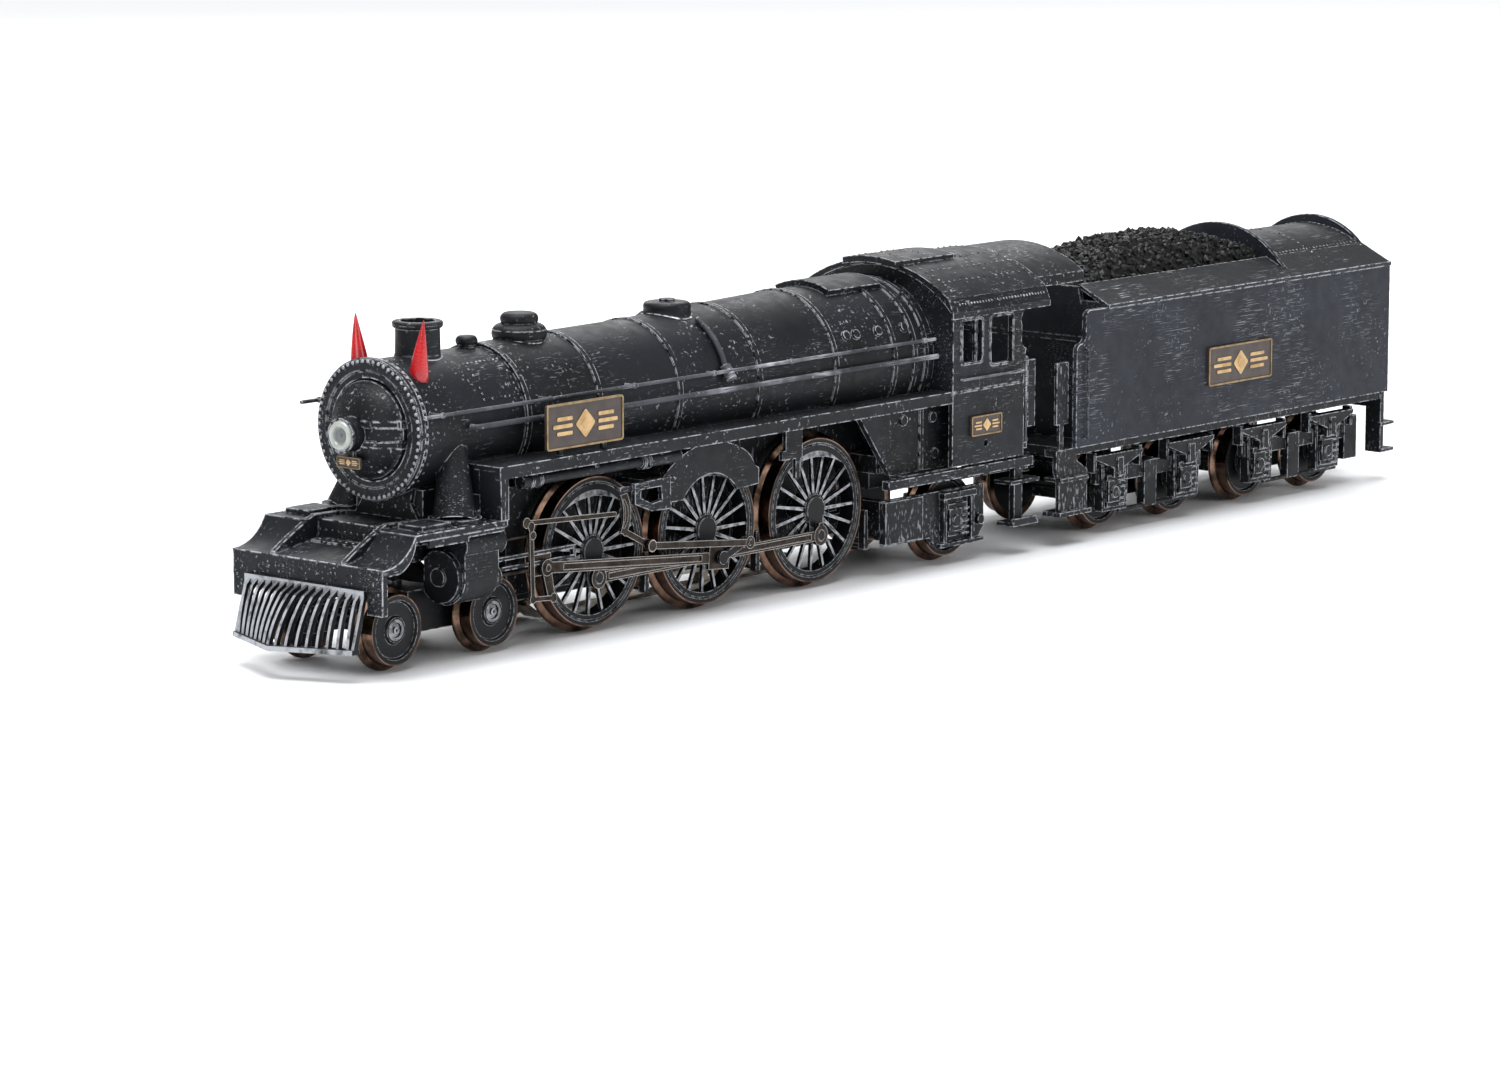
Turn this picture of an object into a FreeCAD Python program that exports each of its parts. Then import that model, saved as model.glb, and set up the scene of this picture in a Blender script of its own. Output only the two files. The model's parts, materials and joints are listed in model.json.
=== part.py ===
"""H0 gauge model of a Pacific steam locomotive with its bogie tender, one STEP file per piece.

Lengths are millimetres. Everything is drawn in a working frame whose x runs forward from the
middle driving axle, whose y runs to the locomotive's left and whose z rises from the rail head.
save() moves each piece to the part's own frame, which has its origin on the centreline, halfway
along the train, at the level on which the wheel flanges stand.
"""

import FreeCAD, Part

import math
import os

Vector = FreeCAD.Vector

# Train and track
FRONT_TIP_X = 80.8
REAR_TIP_X = -176.0
FLANGE_DEPTH = 1.0
RUNNING_GAP = 0.05  # radial clearance of an axle or a pin
PIN_CLEARANCE = 0.09  # radial clearance of a sliding rod in its gland
SEAT_GAP = 0.02  # between pieces that rest on each other

# Wheels: the tread faces outwards, the flange is on the inner face
WHEEL_BACK_Y = 7.1
WHEEL_FACE_Y = 10.0
DRIVER_RADIUS = 10.83
DRIVER_SPOKES = 19
DRIVER_X = {"front": 24.9, "middle": 0.0, "rear": -24.9}
PILOT_WHEEL_RADIUS = 4.94
PILOT_X = {"front": 65.5, "rear": 45.8}
TRAILING_WHEEL_RADIUS = 6.3
TRAILING_X = -56.5
TENDER_WHEEL_RADIUS = 5.8
TENDER_AXLE_X = {"1": -96.0, "2": -115.3, "3": -135.7, "4": -155.0}
AXLE_RADIUS = 1.5
SMALL_AXLE_RADIUS = 1.0

# Motion, in upright planes one outside another
CRANK_RADIUS = 3.7
CRANKPIN_RADIUS = 0.8
COUPLING_ROD_Y = (10.55, 11.2)
CROSSHEAD_Y = (11.4, 12.05)
MAIN_ROD_Y = (12.25, 12.75)
RETURN_CRANK_Y = (12.95, 13.35)
LINK_LUG_Y = (12.9, 13.2)
LINK_Y = (13.3, 13.65)
ECCENTRIC_ROD_Y = (13.85, 14.3)
CROSSHEAD_PIN = (37.5, 10.4)
RETURN_CRANK_TIP = (-4.9, 8.9)
ECCENTRIC_ROD_FRONT = (16.8, 11.1)
LINK_TRUNNION = (21.6, 16.4)
VALVE_SPINDLE = (41.6, 15.6)
VALVE_SPINDLE_Y = 13.05

# Boiler
BOILER_Z = 31.35
BOILER_STATIONS = [
    (59.4, 9.6), (38.6, 9.6), (38.4, 9.9), (22.0, 10.2), (5.7, 10.35), (-10.2, 11.0), (-27.6, 11.5),
    (-51.2, 11.6),
]
BOILER_WALL = 1.2
BAND_X = (38.2, 23.4, 6.2, -10.9, -28.0, -41.8, -46.6, -49.2)
RING_RADIUS = 10.05
DOOR_RADIUS = 6.9
CHIMNEY_X = 50.4
CHIMNEY_BORE_RADIUS = 2.5
CHIMNEY_BORE_DEPTH = 5.0
CHIMNEY_SPIGOT_RADIUS = 3.3
LAMP_Z = 31.1
LAMP_FRONT_X = 66.0
HORN_X = 56.6
HORN_Y = 6.7

# Running boards, deck and cab
BOARD_Y = 15.0
BOARD_TOP_Z = 26.3
BOARD_BOTTOM_Z = 24.5
DECK_FRONT_X = 66.3
DECK_REAR_X = 47.8
DECK_TOP_Z = 18.7
DECK_HALF_WIDTH = 14.6
BEAM_X = (71.8, 72.8)
BEAM_Z = (10.0, 14.68)
CAB_FRONT_X = -51.3
CAB_REAR_X = -69.0
CAB_Y = 15.2
CAB_Z = (14.72, 38.3)
ROOF_REAR_X = -75.0
ROOF_APEX_Z = 45.5
CANOPY_REAR_X = -87.6

# Cylinders
CYLINDER_X = (48.1, 55.0)
CYLINDER_AXIS = (11.7, 10.4)
CYLINDER_OUTER_Y = 13.1

# Tender
TENDER_Y = 15.6
TENDER_FRONT_X = -82.0
TENDER_REAR_X = -168.4
TENDER_SIDE_Z = (14.3, 35.7)
TENDER_FLOOR_Z = (12.9, 14.28)
TENDER_SILL_Y = 5.4
TENDER_SILL_Z = 10.7
COPING = (9.8, 38.9)  # inner y and z of the sloped top panels
BULKHEAD_X = -141.5
COAL_FRONT_X = -92.5

# Underframe
FRAME_Y = 5.6
DRAWBAR_PIN_X = -62.0
TENDER_PIN_X = -88.0
DRAWBAR_Z = (9.2, 10.2)
COUPLER_PIN_X = -162.5
PILOT_PIVOT_X = 55.65
TRAILING_PIVOT_X = -36.0
TENDER_BOGIE_X = {"front": -105.65, "rear": -145.35}

# Drive: a worm on the motor shaft, an idler below it and the gear on the middle axle
GEAR_MODULE = 0.4
AXLE_TEETH = 25
IDLER_TEETH = 20
REDUCTION_Z = DRIVER_RADIUS + 0.5 * GEAR_MODULE * (AXLE_TEETH + IDLER_TEETH)
IDLER_PHASE = 90.0 / IDLER_TEETH
GEAR_ROOM_Y = 1.6
MOTOR_Z = 26.4
MOTOR_RADIUS = 6.6
MOTOR_X = (-38.0, -12.4)


# ---- Shape helpers

def box(x0, x1, y0, y1, z0, z1):
    """A block between the given faces."""
    return Part.makeBox(x1 - x0, y1 - y0, z1 - z0, Vector(x0, y0, z0))


def rod_x(x0, x1, y, z, radius):
    """A round bar along x."""
    return Part.makeCylinder(radius, x1 - x0, Vector(x0, y, z), Vector(1, 0, 0))


def rod_y(y0, y1, x, z, radius):
    """A round bar along y."""
    return Part.makeCylinder(radius, y1 - y0, Vector(x, y0, z), Vector(0, 1, 0))


def rod_z(z0, z1, x, y, radius):
    """A round bar along z."""
    return Part.makeCylinder(radius, z1 - z0, Vector(x, y, z0), Vector(0, 0, 1))


def bar(start, end, radius, end_radius=None):
    """A round or tapered bar from one point to another."""
    start = Vector(*start)
    way = Vector(*end) - start
    if end_radius is None:
        return Part.makeCylinder(radius, way.Length, start, way)
    return Part.makeCone(radius, end_radius, way.Length, start, way)


def pipe(points, radius):
    """A round bar through several points, with ball corners."""
    pieces = [bar(a, b, radius) for a, b in zip(points, points[1:])]
    pieces += [Part.makeSphere(radius, Vector(*p)) for p in points[1:-1]]
    return fused(pieces)


def fused(shapes):
    """One solid from touching shapes."""
    shapes = list(shapes)
    if len(shapes) == 1:
        return shapes[0]
    return shapes[0].multiFuse(shapes[1:]).removeSplitter()


def cut(shape, tools):
    """The shape less each tool."""
    for tool in tools:
        shape = shape.cut(tool)
    return shape


def mirrored(shape):
    """The shape's image on the other side of the train."""
    return shape.mirror(Vector(0, 0, 0), Vector(0, 1, 0))


def both_sides(shape):
    """The shape and its image, as two pieces."""
    return [shape, mirrored(shape)]


def group(shapes):
    """Separate solids that share one node."""
    solids = [solid for shape in shapes for solid in shape.Solids]
    return Part.makeCompound(solids)


def outline(points, place):
    """A closed wire through plane points; a (middle, end) pair of points is an arc."""
    edges = []
    last = points[0]
    for step in list(points[1:]) + [points[0]]:
        if isinstance(step[0], tuple):
            middle, end = step
            edges.append(Part.Arc(place(last), place(middle), place(end)).toShape())
        else:
            end = step
            if place(last).distanceToPoint(place(end)) > 1e-6:
                edges.append(Part.makeLine(place(last), place(end)))
        last = end
    return Part.Wire(edges)


def plate_y(points, y0, y1):
    """A plate with an (x, z) outline between two y faces."""
    wire = outline(points, lambda p: Vector(p[0], y0, p[1]))
    return Part.Face(wire).extrude(Vector(0, y1 - y0, 0))


def plate_x(points, x0, x1):
    """A plate with a (y, z) outline between two x faces."""
    wire = outline(points, lambda p: Vector(x0, p[0], p[1]))
    return Part.Face(wire).extrude(Vector(x1 - x0, 0, 0))


def plate_z(points, z0, z1):
    """A plate with an (x, y) outline between two z faces."""
    wire = outline(points, lambda p: Vector(p[0], p[1], z0))
    return Part.Face(wire).extrude(Vector(0, 0, z1 - z0))


def turned_y(points, x, z):
    """A solid turned about the line along y through (x, z), from (radius, y) points."""
    wire = outline(points, lambda p: Vector(x + p[0], p[1], z))
    return Part.Face(wire).revolve(Vector(x, 0, z), Vector(0, 1, 0), 360)


def turned_x(points, y, z):
    """A solid turned about the line along x through (y, z), from (x, radius) points."""
    wire = outline(points, lambda p: Vector(p[0], y, z + p[1]))
    return Part.Face(wire).revolve(Vector(0, y, z), Vector(1, 0, 0), 360)


def turned_z(points, x, y):
    """A solid turned about the upright line through (x, y), from (radius, z) points."""
    wire = outline(points, lambda p: Vector(x + p[0], y, p[1]))
    return Part.Face(wire).revolve(Vector(x, y, 0), Vector(0, 0, 1), 360)


def link_bar(start, end, y_faces, half_width, eye_radii):
    """A flat rod in an upright plane with a round eye at each end."""
    y0, y1 = y_faces
    dx = end[0] - start[0]
    dz = end[1] - start[1]
    length = math.hypot(dx, dz)
    side = (-dz / length * half_width, dx / length * half_width)
    corners = [
        (start[0] + side[0], start[1] + side[1]),
        (end[0] + side[0], end[1] + side[1]),
        (end[0] - side[0], end[1] - side[1]),
        (start[0] - side[0], start[1] - side[1]),
    ]
    eyes = [rod_y(y0, y1, p[0], p[1], r) for p, r in zip((start, end), eye_radii)]
    return fused([plate_y(corners, y0, y1)] + eyes)


def boiler_envelope(extra=0.0):
    """The boiler's outside as a full solid, grown by the extra radius."""
    points = [(BOILER_STATIONS[0][0], 0.0)]
    points += [(x, radius + extra) for x, radius in BOILER_STATIONS]
    points += [(BOILER_STATIONS[-1][0], 0.0)]
    return turned_x(points, 0, BOILER_Z)


# ---- Wheels

def plain_wheel(x, radius, side):
    """A disc wheel with a tread, a flange, a turned groove and a hub boss."""
    face = WHEEL_FACE_Y
    back = WHEEL_BACK_Y
    profile = [
        (0.0, back), (radius + FLANGE_DEPTH - 0.25, back),
        ((radius + FLANGE_DEPTH, back + 0.3), (radius + FLANGE_DEPTH - 0.2, back + 0.65)),
        (radius + 0.1, back + 0.95), (radius, face), (radius - 0.75, face),
        (radius - 1.0, face - 0.45), (0.42 * radius, face - 0.45),
        (0.36 * radius, face - 0.1), (0.22 * radius, face - 0.1),
        (0.2 * radius, face - 0.35), (0.1 * radius, face - 0.35), (0.1 * radius, face), (0.0, face),
    ]
    wheel = turned_y(profile, x, radius)
    return wheel if side > 0 else mirrored(wheel)


def plain_wheelset(x, radius):
    """Two disc wheels on their axle."""
    axle = rod_y(-WHEEL_BACK_Y - 0.5, WHEEL_BACK_Y + 0.5, x, radius, SMALL_AXLE_RADIUS)
    return fused([axle, plain_wheel(x, radius, 1), plain_wheel(x, radius, -1)])


def spoked_wheel(x, crank_angle):
    """A driving wheel with thin spokes, crank boss, crankpin and counterweight, on the left side."""
    z = DRIVER_RADIUS
    back = WHEEL_BACK_Y
    face = WHEEL_FACE_Y
    rim_inside = 9.15
    rim = [
        (rim_inside, back + 0.2), (DRIVER_RADIUS + FLANGE_DEPTH - 0.25, back),
        ((DRIVER_RADIUS + FLANGE_DEPTH, back + 0.3), (DRIVER_RADIUS + FLANGE_DEPTH - 0.2, back + 0.65)),
        (DRIVER_RADIUS + 0.1, back + 0.95), (DRIVER_RADIUS, face), (DRIVER_RADIUS - 0.7, face),
        (DRIVER_RADIUS - 0.75, face - 0.2), (DRIVER_RADIUS - 0.95, face - 0.2),
        (DRIVER_RADIUS - 1.0, face - 0.05), (rim_inside, face - 0.05),
    ]
    pieces = [turned_y(rim, x, z)]
    hub = [
        (0, back), (2.5, back), (2.3, face - 0.1), (1.9, face + 0.15), (1.2, face + 0.15),
        (1.1, face), (0, face),
    ]
    pieces.append(turned_y(hub, x, z))
    spoke_root = 0.27
    spoke_tip = 0.18
    for index in range(DRIVER_SPOKES):
        spoke = plate_y(
            [
                (1.8, -spoke_root), (rim_inside + 0.1, -spoke_tip), (rim_inside + 0.1, spoke_tip),
                (1.8, spoke_root),
            ],
            face - 0.75, face - 0.2,
        )
        spoke.rotate(Vector(0, 0, 0), Vector(0, 1, 0), (index + 0.5) * 360 / DRIVER_SPOKES)
        spoke.translate(Vector(x, 0, z))
        pieces.append(spoke)
    boss = link_bar((0, 0), (0, -CRANK_RADIUS), (face - 0.7, face + 0.2), 1.5, (2.0, 1.5))
    pin_end = COUPLING_ROD_Y[1] + 0.1
    boss = fused([boss, rod_y(face, pin_end, 0, -CRANK_RADIUS, CRANKPIN_RADIUS)])
    weight = plate_y(
        [(-6.6, 6.4), ((0, rim_inside + 0.05), (6.6, 6.4)), ((0, 8.0), (-6.6, 6.4))], face - 0.7,
        face - 0.05
    )
    for piece in (boss, weight):
        piece.rotate(Vector(0, 0, 0), Vector(0, 1, 0), crank_angle)
        piece.translate(Vector(x, 0, z))
        pieces.append(piece)
    return fused(pieces)


def main_crank(x):
    """The longer pin of the middle wheel, with the return crank on its end, on the left side."""
    z = DRIVER_RADIUS
    pin = rod_y(COUPLING_ROD_Y[1], RETURN_CRANK_Y[0], 0, -CRANK_RADIUS, CRANKPIN_RADIUS)
    tip = (RETURN_CRANK_TIP[0], RETURN_CRANK_TIP[1] - z)
    arm = link_bar((0, -CRANK_RADIUS), tip, RETURN_CRANK_Y, 0.55, (1.0, 0.8))
    tip_pin = rod_y(RETURN_CRANK_Y[1], ECCENTRIC_ROD_Y[1] + 0.1, tip[0], tip[1], 0.4)
    crank = fused([pin, arm, tip_pin])
    crank.translate(Vector(x, 0, z))
    return crank


def driver_wheelset(place):
    """Two spoked wheels on their axle, the right crank a quarter turn from the left one."""
    x = DRIVER_X[place]
    left = spoked_wheel(x, 0)
    right = spoked_wheel(x, 0)
    if place == "middle":
        left = fused([left, main_crank(x)])
        right = fused([right, main_crank(x)])
    right = mirrored(right)
    right.rotate(Vector(x, 0, DRIVER_RADIUS), Vector(0, 1, 0), 90)
    axle = rod_y(-WHEEL_BACK_Y - 0.5, WHEEL_BACK_Y + 0.5, x, DRIVER_RADIUS, AXLE_RADIUS)
    return fused([axle, left, right])


# ---- Side rods and valve gear, drawn for the left side with the crank straight down

def quartered(point):
    """Where a point near the middle crank lies on the right side, whose cranks trail by a quarter turn."""
    dx = point[0]
    dz = point[1] - DRIVER_RADIUS
    return (dz, DRIVER_RADIUS - dx)


def crank_shift():
    """How far the right crankpins lie from the left ones."""
    pin = (0.0, DRIVER_RADIUS - CRANK_RADIUS)
    turned = quartered(pin)
    return Vector(turned[0] - pin[0], 0, turned[1] - pin[1])


def coupling_rod(side):
    """The fluted rod that joins the three crankpins, with a boss and an oil cup at each."""
    y0, y1 = COUPLING_ROD_Y
    pin_z = DRIVER_RADIUS - CRANK_RADIUS
    xs = [DRIVER_X["front"], DRIVER_X["middle"], DRIVER_X["rear"]]
    pieces = [
        plate_y(
            [
                (xs[0], pin_z - 0.75), (xs[0], pin_z + 0.75), (xs[2], pin_z + 0.75),
                (xs[2], pin_z - 0.75),
            ],
            y0 + 0.1, y1 - 0.1,
        )
    ]
    for x in xs:
        pieces.append(rod_y(y0, y1, x, pin_z, 1.55))
        pieces.append(box(x - 0.5, x + 0.5, y0, y1, pin_z + 1.2, pin_z + 1.9))
    rod = fused(pieces)
    flute_gap = 2.2
    for front, rear in zip(xs, xs[1:]):
        rod = rod.cut(box(rear + flute_gap, front - flute_gap, y1 - 0.25, y1, pin_z - 0.4, pin_z + 0.4))
    rod = cut(rod, [rod_y(y0 - 1, y1 + 1, x, pin_z, CRANKPIN_RADIUS + RUNNING_GAP) for x in xs])
    return placed_rod(rod, side)


def crosshead_shift(side):
    """How far the crosshead stands from its left place, so that both main rods are as long."""
    if side == "left":
        return 0.0
    left_pin = (0.0, DRIVER_RADIUS - CRANK_RADIUS)
    length = math.dist(CROSSHEAD_PIN, left_pin)
    pin = quartered(left_pin)
    drop = CROSSHEAD_PIN[1] - pin[1]
    return pin[0] + math.sqrt(length**2 - drop**2) - CROSSHEAD_PIN[0]


def placed_rod(rod, side):
    """A left rod as drawn, or its right twin moved to the quartered cranks."""
    if side == "left":
        return rod
    rod = mirrored(rod)
    rod.translate(crank_shift())
    return rod


def main_rod(side):
    """The rod from the crosshead to the middle crankpin, with a heavy big end."""
    y0, y1 = MAIN_ROD_Y
    big = (0.0, DRIVER_RADIUS - CRANK_RADIUS)
    small = (CROSSHEAD_PIN[0] + crosshead_shift(side), CROSSHEAD_PIN[1])
    if side == "right":
        big = quartered(big)
    rod = link_bar(small, big, (y0 + 0.05, y1 - 0.05), 0.8, (1.2, 1.0))
    angle = math.degrees(math.atan2(small[1] - big[1], small[0] - big[0]))
    strap = box(-1.9, 2.6, y0, y1, -1.7, 1.7)
    strap.rotate(Vector(0, 0, 0), Vector(0, 1, 0), -angle)
    strap.translate(Vector(big[0], 0, big[1]))
    rod = fused([rod, strap])
    flute = box(4.2, math.dist(small, big) - 3.4, y1 - 0.25, y1 + 0.1, -0.42, 0.42)
    flute.rotate(Vector(0, 0, 0), Vector(0, 1, 0), -angle)
    flute.translate(Vector(big[0], 0, big[1]))
    rod = rod.cut(flute)
    rod = rod.cut(rod_y(y0 - 1, y1 + 1, big[0], big[1], CRANKPIN_RADIUS + RUNNING_GAP))
    pin = rod_y(y0 - 0.1, y1 + 0.15, small[0], small[1], 0.5)
    rod = fused([rod, pin])
    return rod if side == "left" else mirrored(rod)


def crosshead(side):
    """The sliding block between the bars, with its drop arm and the piston rod."""
    x = CROSSHEAD_PIN[0] + crosshead_shift(side)
    z = CROSSHEAD_PIN[1]
    y0, y1 = CROSSHEAD_Y
    block = box(x - 1.6, x + 2.4, y0, y1, z - 1.1, z + 0.45)
    slipper = box(x - 1.5, x + 2.3, y0 + 0.1, y1 - 0.1, z + 0.4, z + 1.9)
    arm = plate_y([(x - 1.6, z - 1.0), (x + 0.2, z - 1.0), (x - 0.9, 5.6), (x - 2.3, 5.6)], y0, y1)
    foot = rod_y(y0, y1, x - 1.6, 6.1, 0.8)
    piston_rod = rod_x(x + 2.0, x + 13.0, CYLINDER_AXIS[0], CYLINDER_AXIS[1], 0.35)
    piece = fused([block, slipper, arm, foot, piston_rod])
    return piece if side == "left" else mirrored(piece)


def eccentric_rod_ends(side):
    """The rod's front and rear eyes; the front one is where the link's foot and the rod meet."""
    if side == "left":
        return ECCENTRIC_ROD_FRONT, RETURN_CRANK_TIP
    rear = quartered(RETURN_CRANK_TIP)
    rod = math.dist(ECCENTRIC_ROD_FRONT, RETURN_CRANK_TIP)
    arm = math.dist(ECCENTRIC_ROD_FRONT, LINK_TRUNNION)
    span = math.dist(rear, LINK_TRUNNION)
    along = (rod**2 - arm**2 + span**2) / (2 * span)
    below = math.sqrt(rod**2 - along**2)
    ux = (LINK_TRUNNION[0] - rear[0]) / span
    uz = (LINK_TRUNNION[1] - rear[1]) / span
    front = (rear[0] + along * ux + below * uz, rear[1] + along * uz - below * ux)
    return front, rear


def eccentric_rod(side):
    """The thin rod from the return crank to the foot of the expansion link."""
    y0, y1 = ECCENTRIC_ROD_Y
    front, rear = eccentric_rod_ends(side)
    rod = link_bar(front, rear, (y0 + 0.05, y1 - 0.05), 0.5, (0.9, 0.95))
    rod = fused([rod, rod_y(y0, y1, front[0], front[1], 0.8), rod_y(y0, y1 - 0.02, rear[0], rear[1], 0.95)])
    rod = rod.cut(rod_y(y0 - 1, y1 + 1, rear[0], rear[1], 0.4 + RUNNING_GAP))
    return rod if side == "left" else mirrored(rod)


def expansion_link(side):
    """The curved slotted link on its trunnion, with the arm down to the eccentric rod."""
    y0, y1 = LINK_Y
    x, z = LINK_TRUNNION
    curved = plate_y(
        [
            (x + 0.1, z - 3.0), ((x - 0.75, z), (x + 0.1, z + 2.9)), (x + 1.5, z + 2.7),
            ((x + 0.8, z), (x + 1.5, z - 2.8)),
        ],
        y0, y1,
    )
    slot = plate_y(
        [
            (x + 0.6, z - 2.1), ((x - 0.15, z), (x + 0.6, z + 2.0)), (x + 1.0, z + 1.95),
            ((x + 0.3, z), (x + 1.0, z - 2.05)),
        ],
        y1 - 0.22, y1 + 0.1,
    )
    arm = link_bar(
        (x + 0.4, z - 2.7), (ECCENTRIC_ROD_FRONT[0] + 0.4, ECCENTRIC_ROD_FRONT[1] + 0.2), (y0, y1),
        0.45, (0.6, 0.75),
    )
    trunnion = rod_y(LINK_LUG_Y[0], y0 + 0.1, x, z, 0.5)
    piece = fused([curved.cut(slot), arm, trunnion])
    if side == "left":
        return piece
    foot = eccentric_rod_ends(side)[0]
    turned = math.atan2(foot[1] - z, foot[0] - x)
    drawn = math.atan2(ECCENTRIC_ROD_FRONT[1] - z, ECCENTRIC_ROD_FRONT[0] - x)
    piece.rotate(Vector(x, 0, z), Vector(0, 1, 0), -math.degrees(turned - drawn))
    return mirrored(piece)


def valve_rods(side):
    """The radius rod, combination lever and union link, which move the valve together."""
    y0, y1 = LINK_Y
    x, z = VALVE_SPINDLE
    top = (x + 0.3, 16.9)
    foot = (x + crosshead_shift(side), 6.5)
    link_end = (LINK_TRUNNION[0] + 2.6, LINK_TRUNNION[1] + 0.15)
    radius_rod = link_bar((x + 1.2, 17.5), link_end, (y0 + 0.05, y1 - 0.05), 0.35, (0.75, 0.35))
    lever = link_bar(top, foot, (y0, y1), 0.42, (0.66, 0.62))
    union = link_bar(foot, (foot[0] - 4.3, 6.2), (y0, y1), 0.35, (0.6, 0.7))
    spindle = rod_x(x - 1.0, CYLINDER_X[0] + 3.0, VALVE_SPINDLE_Y, z, 0.25)
    pin = rod_y(VALVE_SPINDLE_Y - 0.2, y1 + 0.05, x, z, 0.6)
    piece = lever.multiFuse([radius_rod, union, spindle, pin])
    return piece if side == "left" else mirrored(piece)


# ---- Cylinders and the brackets of the motion

def cylinder_block():
    """Both cylinders with their valve chests and covers, open inside for the pilot wheels."""
    y, z = CYLINDER_AXIS
    x0, x1 = CYLINDER_X
    centre_y = 9.0
    centre_z = 11.0
    body = rod_x(x0, x1, centre_y, centre_z, CYLINDER_OUTER_Y - centre_y)
    side = box(x0, x1, 7.5, CYLINDER_OUTER_Y, centre_z, 17.0)
    chest = rod_x(x0 - 1.2, x1, 11.6, VALVE_SPINDLE[1], 1.95)
    front_cover = rod_x(x1 - 0.1, x1 + 0.9, centre_y, centre_z, 3.7)
    front_boss = rod_x(x1 - 0.1, x1 + 1.3, centre_y, centre_z, 1.3)
    rear_cover = rod_x(x0 - 0.7, x0 + 0.1, y - 0.3, z, 1.7)
    gland = rod_x(x0 - 1.6, x0, y, z, 0.6)
    piece = fused([body, side, chest, front_cover, front_boss, rear_cover, gland])
    bore = PIN_CLEARANCE
    tools = [
        box(x0 - 3, x1 - 1.6, 0, 10.9, 0, 12.6),  # room for the pilot wheels
        rod_x(x0 - 3, x1 - 0.4, y, z, 0.35 + bore),
        rod_x(x0 - 3, x1 - 0.4, VALVE_SPINDLE_Y, VALVE_SPINDLE[1], 0.25 + bore),
        box(x0 - 5, x1 + 5, -1, 6.1, 0, 20),
    ]
    return group(both_sides(cut(piece, tools)))


def slide_bars():
    """Two bars a side, joined by the bracket at their rear ends."""
    y0, y1 = CROSSHEAD_Y
    z = CROSSHEAD_PIN[1]
    rear_x = 30.9
    front_x = CYLINDER_X[0] - 0.75
    upper = box(rear_x, front_x, y0, y1, z + 1.95, z + 2.5)
    lower = box(rear_x, front_x, y1 - 0.05, y1 + 0.1, z + 0.55, z + 1.1)
    end = box(rear_x, rear_x + 0.5, y0, y1 + 0.1, z + 0.55, z + 2.5)
    return both_sides(fused([upper, lower, end]))


def motion_brackets():
    """The slide bars, the link bracket, the arched plate behind it and its hangers."""
    y0, y1 = CROSSHEAD_Y
    lug0, lug1 = LINK_LUG_Y
    outer = LINK_Y[1]
    board = BOARD_BOTTOM_Z - SEAT_GAP
    arch = plate_y(
        [
            (12.0, 16.4), (12.0, 20.3), ((2.6, 24.2), (-5.6, 22.6)), ((-7.6, 21.2), (-8.6, 19.7)),
            (-9.4, 19.3), (-9.4, 16.9), (-4.6, 16.6), ((1.3, 19.6), (7.6, 16.4)),
        ],
        y0 + 0.1, y1,
    )
    frame = plate_y([(19.9, 20.4), (12.2, 20.6), (12.1, 15.9), (16.2, 16.0), (19.9, 17.4)], lug0, outer)
    frame = frame.cut(
        plate_y(
            [(18.6, 19.4), (14.2, 19.4), (14.0, 17.4), (16.2, 17.1), (18.7, 18.2)], lug0 - 1,
            outer + 1,
        )
    )
    arm = box(18.0, 22.6, lug0, lug1, 19.3, 20.1)
    lug = link_bar((21.9, 19.6), LINK_TRUNNION, (lug0, lug1), 0.55, (0.6, 0.95))
    lug = lug.cut(rod_y(lug0 - 1, lug1 + 1, LINK_TRUNNION[0], LINK_TRUNNION[1], 0.5 + RUNNING_GAP))
    stay = box(10.6, 15.8, 6.2, lug0 + 0.2, 19.5, 20.3)
    hanger = box(1.2, 3.2, y0 + 0.1, y1, 23.4, board)
    rear_foot = box(-19.4, -14.8, y0, y1, 19.6, 21.0)
    rear_post = box(-18.9, -17.9, y0, y1, 16.6, 19.8)
    rear_top = box(-19.4, -15.6, y0, y1, 20.8, board)
    front_piece = fused([arch, frame, arm, lug, stay, hanger])
    rear_piece = fused([rear_foot, rear_post, rear_top])
    return group(slide_bars() + both_sides(front_piece) + both_sides(rear_piece))


# ---- Boiler and its fittings

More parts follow.
